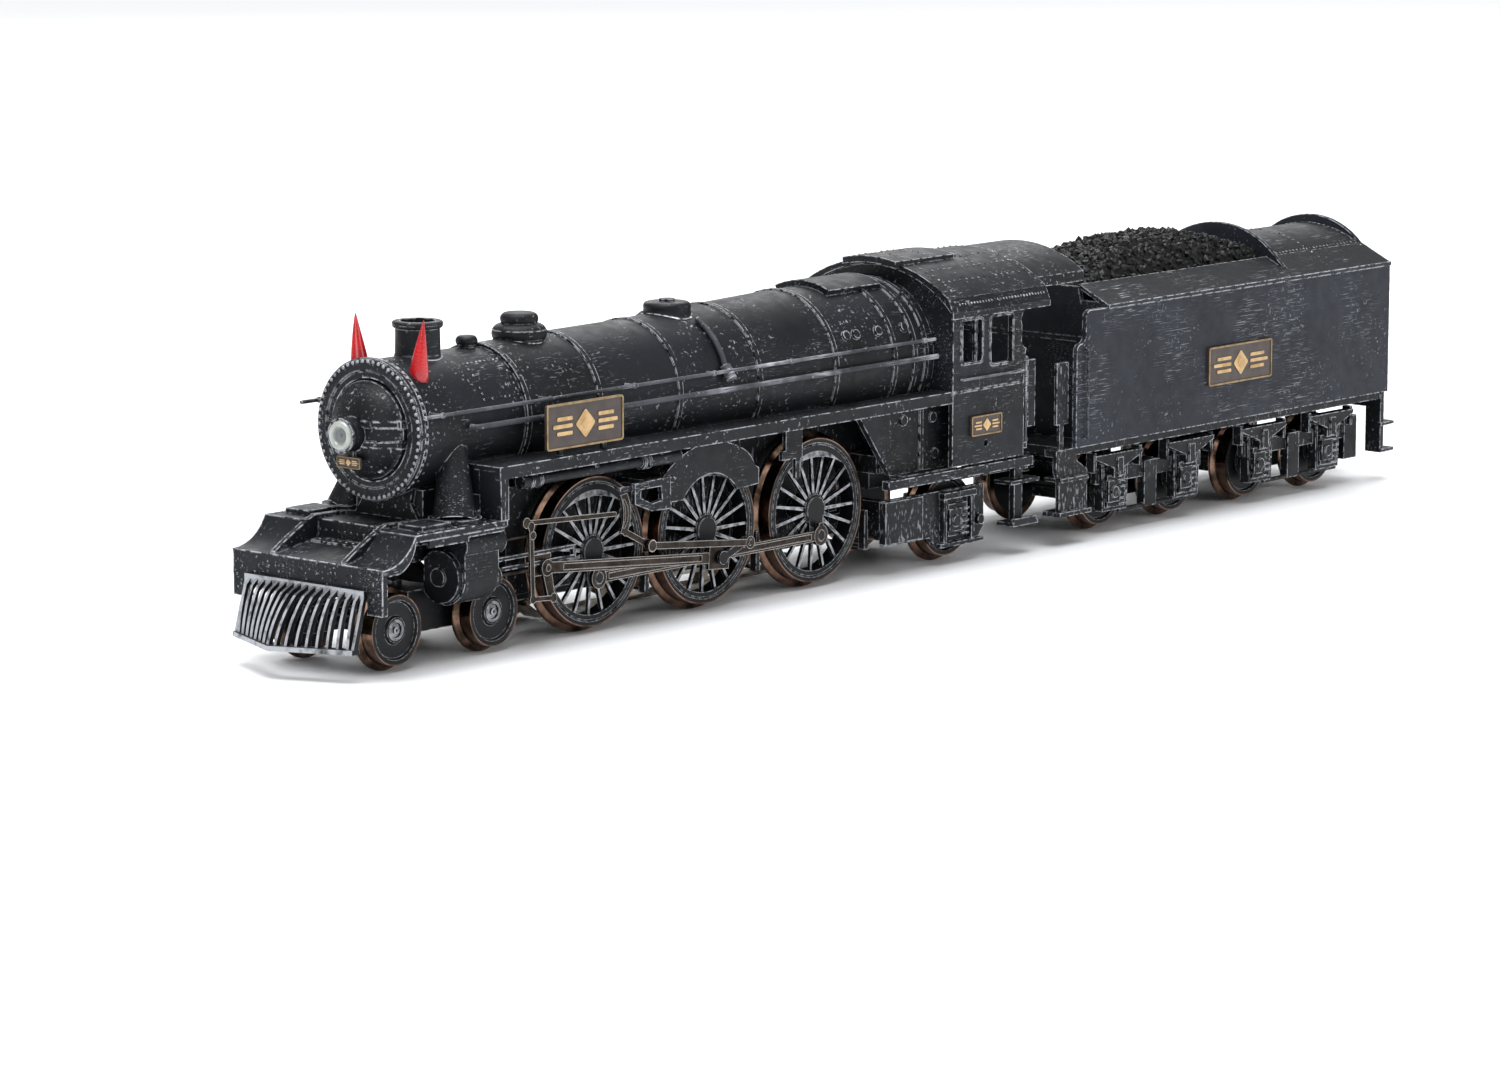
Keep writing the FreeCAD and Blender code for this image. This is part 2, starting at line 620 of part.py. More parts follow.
def boiler_shell():
    """Smokebox, barrel and firebox wrapper: a turned shell, open underneath, with bands and a saddle."""
    inner = [(BOILER_STATIONS[0][0] - 1.0, 0.0)]
    inner += [(min(x, BOILER_STATIONS[0][0] - 1.0), radius - BOILER_WALL) for x, radius in BOILER_STATIONS]
    inner += [
        (BOILER_STATIONS[-1][0] - 1.0, BOILER_STATIONS[-1][1] - BOILER_WALL),
        (BOILER_STATIONS[-1][0] - 1.0, 0.0),
    ]
    room = turned_x(inner, 0, BOILER_Z)
    pieces = [boiler_envelope()]
    for x in BAND_X:
        ring = rod_x(x - 0.45, x + 0.45, 0, BOILER_Z, radius_at(x) + 0.22)
        pieces.append(ring)
    front = rod_x(58.5, 59.2, 0, BOILER_Z, 9.75)
    saddle = plate_x(
        [
            (-6.2, DECK_TOP_Z + SEAT_GAP), (6.2, DECK_TOP_Z + SEAT_GAP), (4.6, 21.0), (5.4, 24.6),
            (-5.4, 24.6), (-4.6, 21.0),
        ],
        42.0, 57.0,
    )
    panel = box(51.0, 56.3, -6.4, 6.4, DECK_TOP_Z + SEAT_GAP, 23.0)
    pieces += [front, saddle, panel]
    for plug_x in (-31.3, -33.6, -38.8, -45.0):
        for side in (-1, 1):
            pieces.append(radial_boss(plug_x, side * 64, 0.75, 0.45))
    pad = boiler_patch(-46.0, -33.6, 25, 0.9)
    pieces.append(pad)
    shell = fused(pieces)
    belly = box(-60.0, 37.5, -20, 20, 0, BOARD_BOTTOM_Z + 0.1)
    front_belly = box(37.0, 42.0, -8.2, 8.2, 0, BOARD_BOTTOM_Z + 0.1)
    shell = cut(shell, [room, belly, front_belly])
    shell = shell.cut(rod_z(35.0, 45.0, CHIMNEY_X, 0, CHIMNEY_SPIGOT_RADIUS + RUNNING_GAP))
    pipe_side = steam_pipe().cut(room)
    return fused([shell, pipe_side, mirrored(pipe_side)])


def radius_at(x):
    """The boiler's outside radius at a place along it."""
    for (x0, r0), (x1, r1) in zip(BOILER_STATIONS, BOILER_STATIONS[1:]):
        if x1 <= x <= x0:
            share = 0.0 if x0 == x1 else (x0 - x) / (x0 - x1)
            return r0 + share * (r1 - r0)
    return BOILER_STATIONS[-1][1]


def radial_boss(x, angle, radius, height):
    """A short round boss standing on the boiler, at an angle from straight up."""
    turn = math.radians(angle)
    reach = radius_at(x)
    way = Vector(0, math.sin(turn), math.cos(turn))
    base = Vector(x, 0, BOILER_Z) + way * (reach - 0.6)
    return Part.makeCylinder(radius, 0.6 + height, base, way)


def boiler_patch(x0, x1, half_angle, height):
    """A plate curved to the boiler's top."""
    ring = rod_x(x0, x1, 0, BOILER_Z, radius_at(x0) + height)
    reach = 30.0
    spread = reach * math.tan(math.radians(half_angle))
    wedge = plate_x([(0.0, BOILER_Z), (-spread, BOILER_Z + reach), (spread, BOILER_Z + reach)], x0, x1)
    return ring.common(wedge)


def smokebox_front():
    """The flat ring that closes the smokebox, with a stepped seat for the door."""
    x = BOILER_STATIONS[0][0] + SEAT_GAP
    profile = [
        (x, 7.2), (x, RING_RADIUS), (x + 0.75, RING_RADIUS), (x + 0.95, RING_RADIUS - 0.2), (x + 0.95, 8.3),
        (x + 0.75, 8.1), (x + 0.75, 7.2),
    ]
    return turned_x(profile, 0, BOILER_Z)


def smokebox_door():
    """The dished door with its two hinge straps, dogs and lamp bracket."""
    x = BOILER_STATIONS[0][0] + 0.3
    profile = [
        (x, 0.0), (x, DOOR_RADIUS), (x + 0.9, DOOR_RADIUS), (x + 1.15, DOOR_RADIUS - 0.3),
        ((x + 2.9, 5.0), (x + 3.9, 2.6)), (x + 4.1, 0.0),
    ]
    door = turned_x(profile, 0, BOILER_Z)
    pieces = [door]
    dish = turned_x(
        [
            (x + 0.5, 0.0), (x + 0.5, DOOR_RADIUS - 0.1), (x + 1.4, DOOR_RADIUS - 0.3),
            ((x + 3.15, 5.0), (x + 4.15, 2.6)), (x + 4.3, 0.0),
        ],
        0, BOILER_Z,
    )
    for low in (BOILER_Z + 0.9, BOILER_Z - 1.9):
        strap = box(x, x + 4.2, 0.5, DOOR_RADIUS + 0.1, low, low + 0.85)
        pieces.append(strap.common(dish))
        pieces.append(box(x + 0.4, x + 1.5, DOOR_RADIUS - 0.9, DOOR_RADIUS + 0.1, low - 0.15, low + 1.0))
    for angle in (35, 150, 200, 250, 320):
        turn = math.radians(angle)
        y = (DOOR_RADIUS - 0.8) * math.sin(turn)
        z = BOILER_Z + (DOOR_RADIUS - 0.8) * math.cos(turn)
        pieces.append(rod_x(x + 0.4, x + 1.75, y, z, 0.4))
    pieces.append(box(x + 1.6, x + 4.3, -0.5, 0.5, BOILER_Z - 4.3, BOILER_Z - 2.0))
    door = fused(pieces)
    socket = rod_x(x + 3.3, x + 9.0, 0, LAMP_Z, 2.35 + SEAT_GAP)
    return cut(door, [socket])


def headlamp_housing():
    """The round lamp body on the door, hollow at the front for its lens."""
    x = BOILER_STATIONS[0][0] + 3.62
    body = turned_x(
        [
            (x, 0.0), (x, 2.1), (x + 0.3, 2.35), (LAMP_FRONT_X - 0.35, 2.35),
            (LAMP_FRONT_X - 0.3, 2.45), (LAMP_FRONT_X, 2.45), (LAMP_FRONT_X, 0.0),
        ],
        0, LAMP_Z,
    )
    return body.cut(rod_x(LAMP_FRONT_X - 1.2, LAMP_FRONT_X + 1, 0, LAMP_Z, 2.1))


def headlamp_lens():
    """The lens with its thick clear rim and flat centre."""
    x = LAMP_FRONT_X - 1.2 + SEAT_GAP
    radius = 2.1 - SEAT_GAP
    profile = [
        (x, 0.0), (x, radius), (LAMP_FRONT_X, radius),
        ((LAMP_FRONT_X + 0.35, radius - 0.4), (LAMP_FRONT_X + 0.1, 1.25)),
        (LAMP_FRONT_X - 0.15, 1.15), (LAMP_FRONT_X - 0.1, 0.0),
    ]
    return turned_x(profile, 0, LAMP_Z)


def chimney():
    """The turned chimney with its lip and flared foot, bored for a smoke unit."""
    foot = BOILER_Z + 8.2
    profile = [
        (0.0, foot), (4.6, foot), (4.5, 39.2), ((3.55, 40.2), (3.2, 41.6)), (3.15, 44.7),
        ((3.5, 44.85), (3.55, 45.2)),
        ((3.5, 45.6), (3.2, 45.7)), (0.0, 45.7),
    ]
    body = turned_z(profile, CHIMNEY_X, 0).cut(boiler_envelope(SEAT_GAP))
    spigot = rod_z(BOILER_Z + 8.6, 41.0, CHIMNEY_X, 0, CHIMNEY_SPIGOT_RADIUS)
    tube = fused([body, spigot])
    tube = tube.cut(rod_z(30.0, 50.0, CHIMNEY_X, 0, CHIMNEY_BORE_RADIUS - 0.25))
    return tube.cut(rod_z(45.7 - CHIMNEY_BORE_DEPTH, 50.0, CHIMNEY_X, 0, CHIMNEY_BORE_RADIUS))


def boiler_domes():
    """The two-step sand dome, the low steam dome and the filler knob, each seated on the boiler."""
    seat = boiler_envelope(SEAT_GAP)
    two_step = turned_z(
        [
            (0, 38.0), (3.9, 38.0), (3.8, 41.2), ((3.75, 42.7), (2.9, 43.3)), (2.55, 43.4),
            ((2.6, 44.5), (1.9, 44.9)), (0, 45.0),
        ],
        29.4, 0,
    )
    ribs = [rod_z(z, z + 0.3, 29.4, 0, 3.95) for z in (41.6, 42.2)]
    two_step = fused([two_step] + ribs)
    low = turned_z(
        [
            (0, 38.0), (4.3, 38.0), (4.2, 41.3), ((3.6, 41.9), (3.5, 42.6)),
            ((3.4, 43.2), (2.8, 43.5)), (0, 43.6),
        ],
        -2.65, 0
    )
    lid = rod_z(43.5, 43.9, -2.65, 0, 1.2)
    low = fused([low, lid])
    knob = turned_z(
        [(0, 38.0), (1.2, 38.0), (1.2, 41.3), (1.45, 41.4), ((1.5, 42.2), (1.1, 42.6)), (0, 42.7)],
        40.4, 0,
    )
    return group([piece.cut(seat) for piece in (two_step, low, knob)])


def horn(side):
    """One slightly curved, pointed horn standing on the smokebox."""
    stations = [
        (37.4, 1.65, 0.0, 0.0), (39.3, 1.55, 0.0, 0.0), (41.5, 1.2, 0.1, 0.12),
        (43.6, 0.8, -0.05, 0.12), (45.4, 0.42, -0.35, 0.0), (46.6, 0.12, -0.65, -0.2),
    ]
    wires = []
    for z, radius, dx, dy in stations:
        circle = Part.makeCircle(radius, Vector(HORN_X + dx, side * (HORN_Y + dy), z))
        wires.append(Part.Wire([circle]))
    solid = Part.makeLoft(wires, True)
    return solid.cut(boiler_envelope(SEAT_GAP))


def horns():
    """The pair of horns."""
    return group([horn(1), horn(-1)])


def boiler_rails_and_pipes():
    """The handrails and the thin pipes along both sides."""
    return group(handrails() + boiler_pipes())


def handrails():
    """A long rail on posts along each side of the boiler, and a short one on each cab side."""
    z = 34.2
    y = 11.9
    pieces = [rod_x(CAB_FRONT_X + 0.3, 61.6, y, z, 0.28)]
    for x in (58.0, 36.0, 18.0, 0.5, -17.0, -34.5, -48.5):
        reach = radius_at(x)
        surface = math.sqrt(reach**2 - (z - BOILER_Z) ** 2) + 0.25
        pieces.append(rod_y(surface, y, x, z, 0.24))
        pieces.append(Part.makeSphere(0.45, Vector(x, y, z), Vector(1, 0, 0)))
    cab_rail = pipe(
        [
            (-53.3, CAB_Y + SEAT_GAP, 28.0), (-53.3, CAB_Y + 0.55, 28.0),
            (-68.1, CAB_Y + 0.55, 28.0), (-68.1, CAB_Y + SEAT_GAP, 28.0),
        ],
        0.2,
    )
    column = pipe([(-70.0, 14.8, 16.5), (-70.0, 14.8, 30.0)], 0.22)
    knobs = [
        Part.makeSphere(0.4, Vector(-70.0, 14.8, 17.0)),
        Part.makeSphere(0.4, Vector(-70.0, 14.8, 29.6)),
    ]
    rail = pieces[0].multiFuse(pieces[1:])
    return both_sides(rail) + both_sides(cab_rail) + both_sides(fused([column] + knobs))


def boiler_pipes():
    """The injector pipe along each side, the feed pipe down from the dome and their valves."""
    z = 31.6
    y = 12.35
    lower = pipe(
        [(50.1, 9.9, z), (50.1, 11.0, z), (35.3, 11.0, z), (33.5, y, z), (CAB_FRONT_X + 0.3, y, z)],
        0.4,
    )
    feed_points = []
    for angle in (28, 40, 52, 64, 72):
        turn = math.radians(angle)
        reach = radius_at(-3.3) + 0.5
        feed_points.append((-3.3, reach * math.sin(turn), BOILER_Z + reach * math.cos(turn)))
    feed = pipe(feed_points, 0.42)
    valve = bar(feed_points[-1], (-3.3, 12.0, 33.0), 0.8)
    feed = fused([feed, valve]).cut(boiler_envelope(SEAT_GAP))
    return both_sides(lower) + both_sides(feed)


def steam_pipe():
    """The tapered pipe from the smokebox down to the left cylinder, with its foot on the deck."""
    body = bar((54.0, 10.2, DECK_TOP_Z + 0.1), (51.4, 7.6, 28.6), 3.1, 1.9)
    foot = rod_z(DECK_TOP_Z + SEAT_GAP, DECK_TOP_Z + 0.7, 54.0, 10.3, 3.75)
    below = box(40, 60, 0, 20, 0, DECK_TOP_Z + SEAT_GAP)
    return fused([body, foot]).cut(below)


# ---- Footplate, running boards and cab

def front_footplate():
    """The front deck with its buffer beam, curved aprons, ribs and recessed middle."""
    x0 = DECK_REAR_X
    x1 = DECK_FRONT_X
    half = DECK_HALF_WIDTH
    top = DECK_TOP_Z
    beam_rear, beam_front = BEAM_X
    low, high = BEAM_Z
    deck = box(x0, x1, -half, half, top - 1.0, top)
    beam = box(beam_rear, beam_front, -14.38, 14.38, low, high)
    tabs = [
        box(beam_rear, beam_front, side * 12.9 - 1.48, side * 12.9 + 1.48, low - 1.8, low + 0.1)
        for side in (-1, 1)
    ]
    apron_points = [
        (x1, top), (x1, top - 1.0), ((x1 + 1.2, top - 3.6), (x1 + 3.3, high - 0.9)),
        (beam_rear, high - 1.0),
        (beam_front, high - 0.1), (beam_front, high), ((x1 + 2.4, high + 1.2), (x1, top)),
    ]
    pieces = [deck, beam] + tabs
    pieces += both_sides(plate_y(apron_points, 7.2, half - 0.02))
    well_floor = plate_y(
        [
            (x1 - 2.3, 15.0), (beam_rear + 0.2, high - 0.9), (beam_front, high - 0.9),
            (beam_front, high), (x1 - 2.3, 16.0),
        ],
        -7.3, 7.3,
    )
    well_back = box(x1 - 3.3, x1 - 2.3, -7.3, 7.3, 15.0, top - 0.5)
    rib_points = [
        (x1 - 8.0, top), (x1 - 8.0, top + 0.45), (x1 - 1.8, top + 0.6),
        ((x1 + 2.6, top - 1.5), (beam_front - 0.2, high + 0.35)),
        (beam_front - 0.2, high - 0.1), (x1 - 2.4, 15.2),
    ]
    rib = plate_y(rib_points, 6.4, 7.25)
    pieces += [well_floor, well_back] + both_sides(rib)
    pieces += both_sides(box(57.9, 63.6, 8.6, 13.2, top - 0.1, top + 0.75))
    pieces += both_sides(box(x0, x1 - 3.3, 13.4, half - 0.6, top - 2.2, top - 0.9))
    pieces.append(box(47.9, 66.0, -5.9, 5.9, 15.2, top - 0.9))
    plate = fused(pieces)
    recess = box(x1 - 2.3, x1 + 1.0, -6.4, 6.4, 16.0, top + 1.0)
    cylinder_room = [
        box(
            CYLINDER_X[0] - 2, CYLINDER_X[1] + 0.1, side * 10.35 - 4.25, side * 10.35 + 4.25, 8,
            17.05,
        )
        for side in (-1, 1)
    ]
    return cut(plate, [recess] + cylinder_room)


def cowcatcher():
    """The pilot: a pointed plate at the bottom and a fan of bars curved up to the beam."""
    tip_x = FRONT_TIP_X
    end_x = 75.9
    end_y = 11.5
    top_x = 73.4
    bottom_z = 3.7
    depth = 1.5
    plate = plate_z(
        [
            (tip_x, 0.0), (end_x, end_y), (end_x - depth, end_y), (tip_x - depth - 0.7, 0.0),
            (end_x - depth, -end_y), (end_x, -end_y),
        ],
        bottom_z - 0.7, bottom_z,
    )
    pieces = [plate]
    bars = 8
    for index in range(bars):
        share = (index + 0.5) / bars
        y = share * (end_y - 0.3)
        foot_x = tip_x - (tip_x - end_x) * share * (end_y - 0.3) / end_y - 0.55
        lean = foot_x - top_x
        path = [
            (foot_x, bottom_z - 0.1), ((foot_x - 0.28 * lean, 7.6), (foot_x - 0.62 * lean, 10.2)),
            (top_x - 0.5, 11.6),
            (top_x - 0.5, 10.9), (foot_x - 0.62 * lean - 0.15, 9.5),
            ((foot_x - 0.28 * lean - 0.6, 7.2), (foot_x - 0.75, bottom_z - 0.1)),
        ]
        pieces += both_sides(plate_y(path, y - 0.24, y + 0.24))
    rail = box(BEAM_X[1] + SEAT_GAP, top_x + 0.1, -end_y, end_y, 10.4, 11.6)
    pieces.append(rail)
    pieces += both_sides(
        plate_y(
            [
                (top_x - 0.5, 10.6), (top_x + 0.1, 10.6), (end_x - 0.3, bottom_z - 0.1),
                (end_x - 1.2, bottom_z - 0.1),
            ],
            end_y - 0.5, end_y,
        )
    )
    return fused(pieces)


def running_boards():
    """The side boards with their front steps and the air pipe that hangs below each."""
    inner = 8.6
    x_rear = CAB_FRONT_X + SEAT_GAP
    x_front = 49.7
    board = box(x_rear, x_front, inner, BOARD_Y, BOARD_TOP_Z - 0.7, BOARD_TOP_Z)
    valance = box(x_rear, x_front, BOARD_Y - 0.9, BOARD_Y, BOARD_BOTTOM_Z, BOARD_TOP_Z)
    step = plate_y(
        [
            (x_front - 1.0, DECK_TOP_Z + SEAT_GAP), (x_front - 0.2, DECK_TOP_Z + SEAT_GAP),
            (x_front, BOARD_TOP_Z), (x_front - 1.0, BOARD_TOP_Z),
        ],
        10.9, BOARD_Y,
    )
    step = step.fuse(box(x_front - 1.0, x_front - 0.1, inner, 11.0, 22.0, BOARD_TOP_Z))
    post = box(47.9, 48.8, BOARD_Y - 1.2, BOARD_Y - 0.1, DECK_TOP_Z + SEAT_GAP, BOARD_BOTTOM_Z + 0.1)
    air_pipe = [
        rod_x(17.5, 44.0, 13.4, 23.4, 0.75), rod_x(10.3, 17.6, 13.4, 23.4, 0.95),
        rod_x(40.0, 44.0, 13.4, 23.4, 0.95),
    ]
    air_pipe += [rod_x(x, x + 0.45, 13.4, 23.4, 1.15) for x in (17.1, 18.2, 40.2, 42.0)]
    air_pipe += [box(x, x + 0.8, 12.8, 14.0, 23.4, BOARD_TOP_Z - 0.6) for x in (14.0, 28.0, 41.0)]
    piece = fused([board, valance, step, post] + air_pipe)
    piece = piece.cut(boiler_envelope(0.55))
    steam_pipe_room = bar((54.0, 10.2, DECK_TOP_Z - 0.3), (51.4, 7.6, 28.6), 3.15, 1.95)
    return group(both_sides(piece.cut(steam_pipe_room)))


def firebox_sides():
    """The ashpan side plates, the sill under the cab and the cab footsteps."""
    y0 = 11.2
    y1 = 12.2
    plate = plate_y([(-32.4, 24.4), (-40.0, 14.4), (-54.8, 14.4), (-54.8, 24.4)], y0, y1)
    rib = box(-47.6, -46.8, y1 - 0.1, y1 + 0.25, 14.6, 24.3)
    sill = box(-71.5, -36.0, 13.9, CAB_Y, 12.9, 14.3)
    tie = box(-54.0, -41.0, y0, 14.0, 13.9, 14.45)
    cab_tie = box(-68.5, -55.5, y0 + 2.4, 14.0, 13.9, 14.7)
    washout = [
        rod_y(y1 - 0.1, y1 + 0.3, x, z, 0.8)
        for x, z in ((-50.5, 16.8), (-50.0, 22.4), (-43.0, 22.6))
    ]
    side = fused([plate, rib, sill, tie, cab_tie] + washout)
    post = box(-70.9, -68.9, 12.6, 13.6, 3.6, 12.95)
    upper = plate_z([(-66.4, 11.6), (-72.6, 11.6), (-73.4, 12.4), (-73.4, 15.0), (-66.4, 15.0)], 10.2, 10.8)
    lower = plate_z([(-67.0, 11.6), (-72.6, 11.6), (-73.2, 12.4), (-73.2, 15.0), (-67.0, 15.0)], 3.6, 4.2)
    lip = box(-72.8, -67.2, 14.5, 15.0, 4.1, 4.8)
    steps = fused([post, upper, lower, lip, box(-70.9, -68.9, 12.6, 14.6, 12.4, 12.95)])
    return group(both_sides(fused([side, steps])))


def rounded_window(x0, x1, z0, z1, corner=0.5):
    """A window opening with rounded corners, as a block that goes through a cab side."""
    y0 = CAB_Y - 2.5
    y1 = CAB_Y + 1.0
    block = box(x0, x1, y0, y1, z0, z1)
    corners = [edge for edge in block.Edges if abs(edge.tangentAt(edge.FirstParameter).y) > 0.9]
    return block.makeFillet(corner, corners)


def cab():
    """Sides with windows and beading, the front wall round the boiler, and the rear gangway plates."""
    x0 = CAB_REAR_X
    x1 = CAB_FRONT_X
    z0, z1 = CAB_Z
    y = CAB_Y
    side = plate_y(
        [
            (x1, z0), (x1, z1), (x0 - 1.4, z1), (x0 - 1.2, 37.6),
            ((x0 + 0.5, 36.6), (x0 + 0.6, 35.0)), (x0 + 0.6, 33.2),
            ((x0 + 0.4, 31.9), (x0 - 0.5, 31.3)), (x0, 29.0), (x0, z0),
        ],
        y - 0.8, y,
    )
    openings = ((-58.3, -53.4, 30.5, 36.9), (-65.9, -60.6, 29.7, 36.9))
    windows = [rounded_window(*opening) for opening in openings]
    frames = []
    for wx0, wx1, wz0, wz1 in openings:
        outer = rounded_window(wx0 - 0.35, wx1 + 0.35, wz0 - 0.35, wz1 + 0.35, 0.7)
        frames.append(outer.common(box(wx0 - 1, wx1 + 1, y - 0.3, y + 0.15, wz0 - 1, wz1 + 1)))
    side = cut(fused([side] + frames), windows)
    sash = box(-57.4, -56.9, y - 0.7, y - 0.2, 30.4, 37.0)
    glazing_bar = box(-54.0, -53.5, y - 0.7, y - 0.2, 30.4, 37.0)
    beading = box(x0 + 0.2, x1 - 0.2, y - 0.1, y + 0.12, 26.0, 26.3)
    hole = rod_y(y - 2, y + 1, -59.6, 17.6, 0.5)
    side = fused([side, sash, glazing_bar, beading]).cut(hole)
    gangway = box(-72.9, -71.0, y - 1.3, y - 0.8, 18.8, 29.2)
    hinge = box(-71.2, x0 + 0.1, y - 1.3, y - 0.75, 19.6, 20.4).fuse(
        box(-71.2, x0 + 0.1, y - 1.3, y - 0.75, 27.6, 28.4)
    )
    column_foot = box(-70.5, x0 + 0.1, y - 1.2, y - 0.5, 15.6, 16.5)
    side = fused([side, gangway, hinge, column_foot])
    front_wall = plate_x(
        [(-y + 0.1, 24.6), (-y + 0.1, 40.0), ((0.0, 44.9), (y - 0.1, 40.0)), (y - 0.1, 24.6)],
        x1 - 0.8, x1,
    )
    front_wall = front_wall.cut(rod_x(x1 - 2, x1 + 2, 0, BOILER_Z, radius_at(x1) - BOILER_WALL))
    front_wall = front_wall.cut(boiler_envelope(SEAT_GAP))
    floor = box(x0 + 1.0, x1 - 0.8, -y + 0.7, y - 0.7, 24.6, 25.4)
    backhead = rod_x(x1 - 3.0, x1 - 0.7, 0, BOILER_Z, 9.2).common(box(x1 - 3.0, x1, -12, 12, 25.3, 45))
    dials = [rod_x(x1 - 3.3, x1 - 2.9, dy, dz, 0.9) for dy, dz in ((-3.0, 37.0), (0.0, 37.8), (3.0, 37.0))]
    dials.append(rod_x(x1 - 3.6, x1 - 2.9, 0.0, 29.5, 1.8))
    roof_room = cab_roof_envelope()
    shell = fused([side, mirrored(side), front_wall, floor, backhead] + dials)
    return cut(shell, [roof_room])


def cab_roof_envelope():
    """The solid that the roof's plates take up, with a seat gap below."""
    wall = 0.8 + SEAT_GAP
    edge = 14.6
    points = [
        (-16.2, 38.3), (-15.1, 38.2), (-edge + 0.8, 40.4 - wall),
        ((0.0, ROOF_APEX_Z - wall), (edge - 0.8, 40.4 - wall)),
        (15.1, 38.2), (16.2, 38.3), (16.2, 50.0), (-16.2, 50.0),
    ]
    return plate_x(points, ROOF_REAR_X - 15, CAB_FRONT_X + 3)


def cab_roof():
    """The arched roof with its eave strips, front hatch and the narrower canopy over the gangway."""
    edge = 14.6
    x0 = ROOF_REAR_X
    x1 = CAB_FRONT_X + 0.5
    wall = 0.8
    points = [
        (-15.6, 38.3), (-edge, 40.5), ((0.0, ROOF_APEX_Z), (edge, 40.5)), (15.6, 38.3),
        (15.6, 37.4), (15.25, 37.4), (15.25, 38.3),
        (edge - 0.8, 40.5 - wall), ((0.0, ROOF_APEX_Z - wall), (-edge + 0.8, 40.5 - wall)),
        (-15.25, 38.3), (-15.25, 37.4), (-15.6, 37.4),
    ]
    roof = plate_x(points, x0, x1)
    canopy_half = 12.4
    canopy = plate_x(
        [
            (-canopy_half - 0.1, 39.9), (-canopy_half, 41.5),
            ((0.0, ROOF_APEX_Z - 0.15), (canopy_half, 41.5)), (canopy_half + 0.1, 39.9),
            (canopy_half - 0.7, 39.9), (canopy_half - 0.8, 41.1),
            ((0.0, ROOF_APEX_Z - 0.95), (-canopy_half + 0.8, 41.1)), (-canopy_half + 0.7, 39.9),
        ],
        CANOPY_REAR_X, x0 + 0.3,
    )
    hatch_top = rod_x(
        -64.0, -49.6, 0, ROOF_APEX_Z - 23.8, 24.45,
    ).common(box(-64.0, -49.6, -5.2, 5.2, 43.0, 50.0))
    hatch_top = hatch_top.cut(rod_x(-70.0, -40.0, 0, ROOF_APEX_Z - 23.8, 23.4))
    return fused([roof, canopy, hatch_top])


# ---- Chassis and drive

def chassis_frame():
    """The cast block that carries the axles, the gears, the motor cradle, the cab floor and the pivots."""
    z_low = 5.6
    z_top = 21.2
    block = box(-33.5, 38.5, -FRAME_Y, FRAME_Y, z_low, z_top)
    nose = box(38.0, 62.8, -FRAME_Y, FRAME_Y, 12.9, 15.18)
    shoulder = box(38.0, 47.8, -FRAME_Y, FRAME_Y, 12.9, DECK_TOP_Z - 0.1)
    tail = box(-71.0, -38.4, -10.8, 10.8, 14.75, 17.5)
    neck = box(-39.0, -33.0, -FRAME_Y, FRAME_Y, 14.75, 17.5)
    riser = box(-50.0, -33.0, -FRAME_Y, FRAME_Y, 17.0, z_top)
    cradle = box(-44.0, -10.0, -FRAME_Y, FRAME_Y, z_top - 0.1, 25.0)
    skirt = box(-59.0, -44.0, -4.8, 4.8, 11.2, 15.0)
    pieces = [block, nose, shoulder, tail, neck, riser, cradle, skirt]
    pieces.append(rod_z(9.7, 13.0, PILOT_PIVOT_X, 0, 1.4))
    pieces.append(rod_z(10.25, 14.8, DRAWBAR_PIN_X, 0, 2.4))
    pieces.append(rod_z(9.1, 10.3, DRAWBAR_PIN_X, 0, 1.0))
    pieces.append(rod_z(8.6, 9.15, DRAWBAR_PIN_X, 0, 1.5))
    pieces.append(box(TRAILING_PIVOT_X - 2.4, -33.0, -3.0, 3.0, 8.4, 15.0))
    block = fused(pieces)
    tools = [rod_y(-20, 20, x, DRIVER_RADIUS, AXLE_RADIUS + RUNNING_GAP) for x in DRIVER_X.values()]
    tools.append(box(-6.2, 6.2, -GEAR_ROOM_Y, GEAR_ROOM_Y, 4.5, 27.0))
    tools.append(rod_y(-3.0, 3.0, 0, REDUCTION_Z, 0.8 + RUNNING_GAP))
    tools.append(rod_x(-46.0, -9.0, 0, MOTOR_Z, MOTOR_RADIUS + 0.1))
    tools.append(rod_x(-12.0, 8.0, 0, MOTOR_Z, 2.4))
    return cut(block, tools)


def keeper_plate():
    """The screwed plate under the chassis that holds the axles in, with brake hangers."""
    z1 = 5.6 - SEAT_GAP
    plate = box(-33.3, 36.0, -FRAME_Y + 0.4, FRAME_Y - 0.4, z1 - 1.0, z1)
    plate = cut(plate, [rod_z(0, 10, x, 0, 0.75) for x in (32.0, -30.0)])
    pieces = [plate]
    for x in (12.5, -12.4, -37.8):
        hanger = plate_y([(x - 0.35, 3.2), (x + 0.6, 3.2), (x + 0.5, 9.2), (x - 0.1, 9.2)], 8.3, 9.5)
        beam_x = min(max(x, -33.0), 35.0)
        pieces.append(box(x - 0.3, x + 0.3, 0, 9.0, 3.4, 4.0))
        pieces.append(hanger)
        pieces += [mirrored(box(x - 0.3, x + 0.3, 0, 9.0, 3.4, 4.0)), mirrored(hanger)]
        pieces.append(box(min(x, beam_x) - 0.3, max(x, beam_x) + 0.3, -1.0, 1.0, 3.4, z1 - 0.9))
    return fused(pieces)


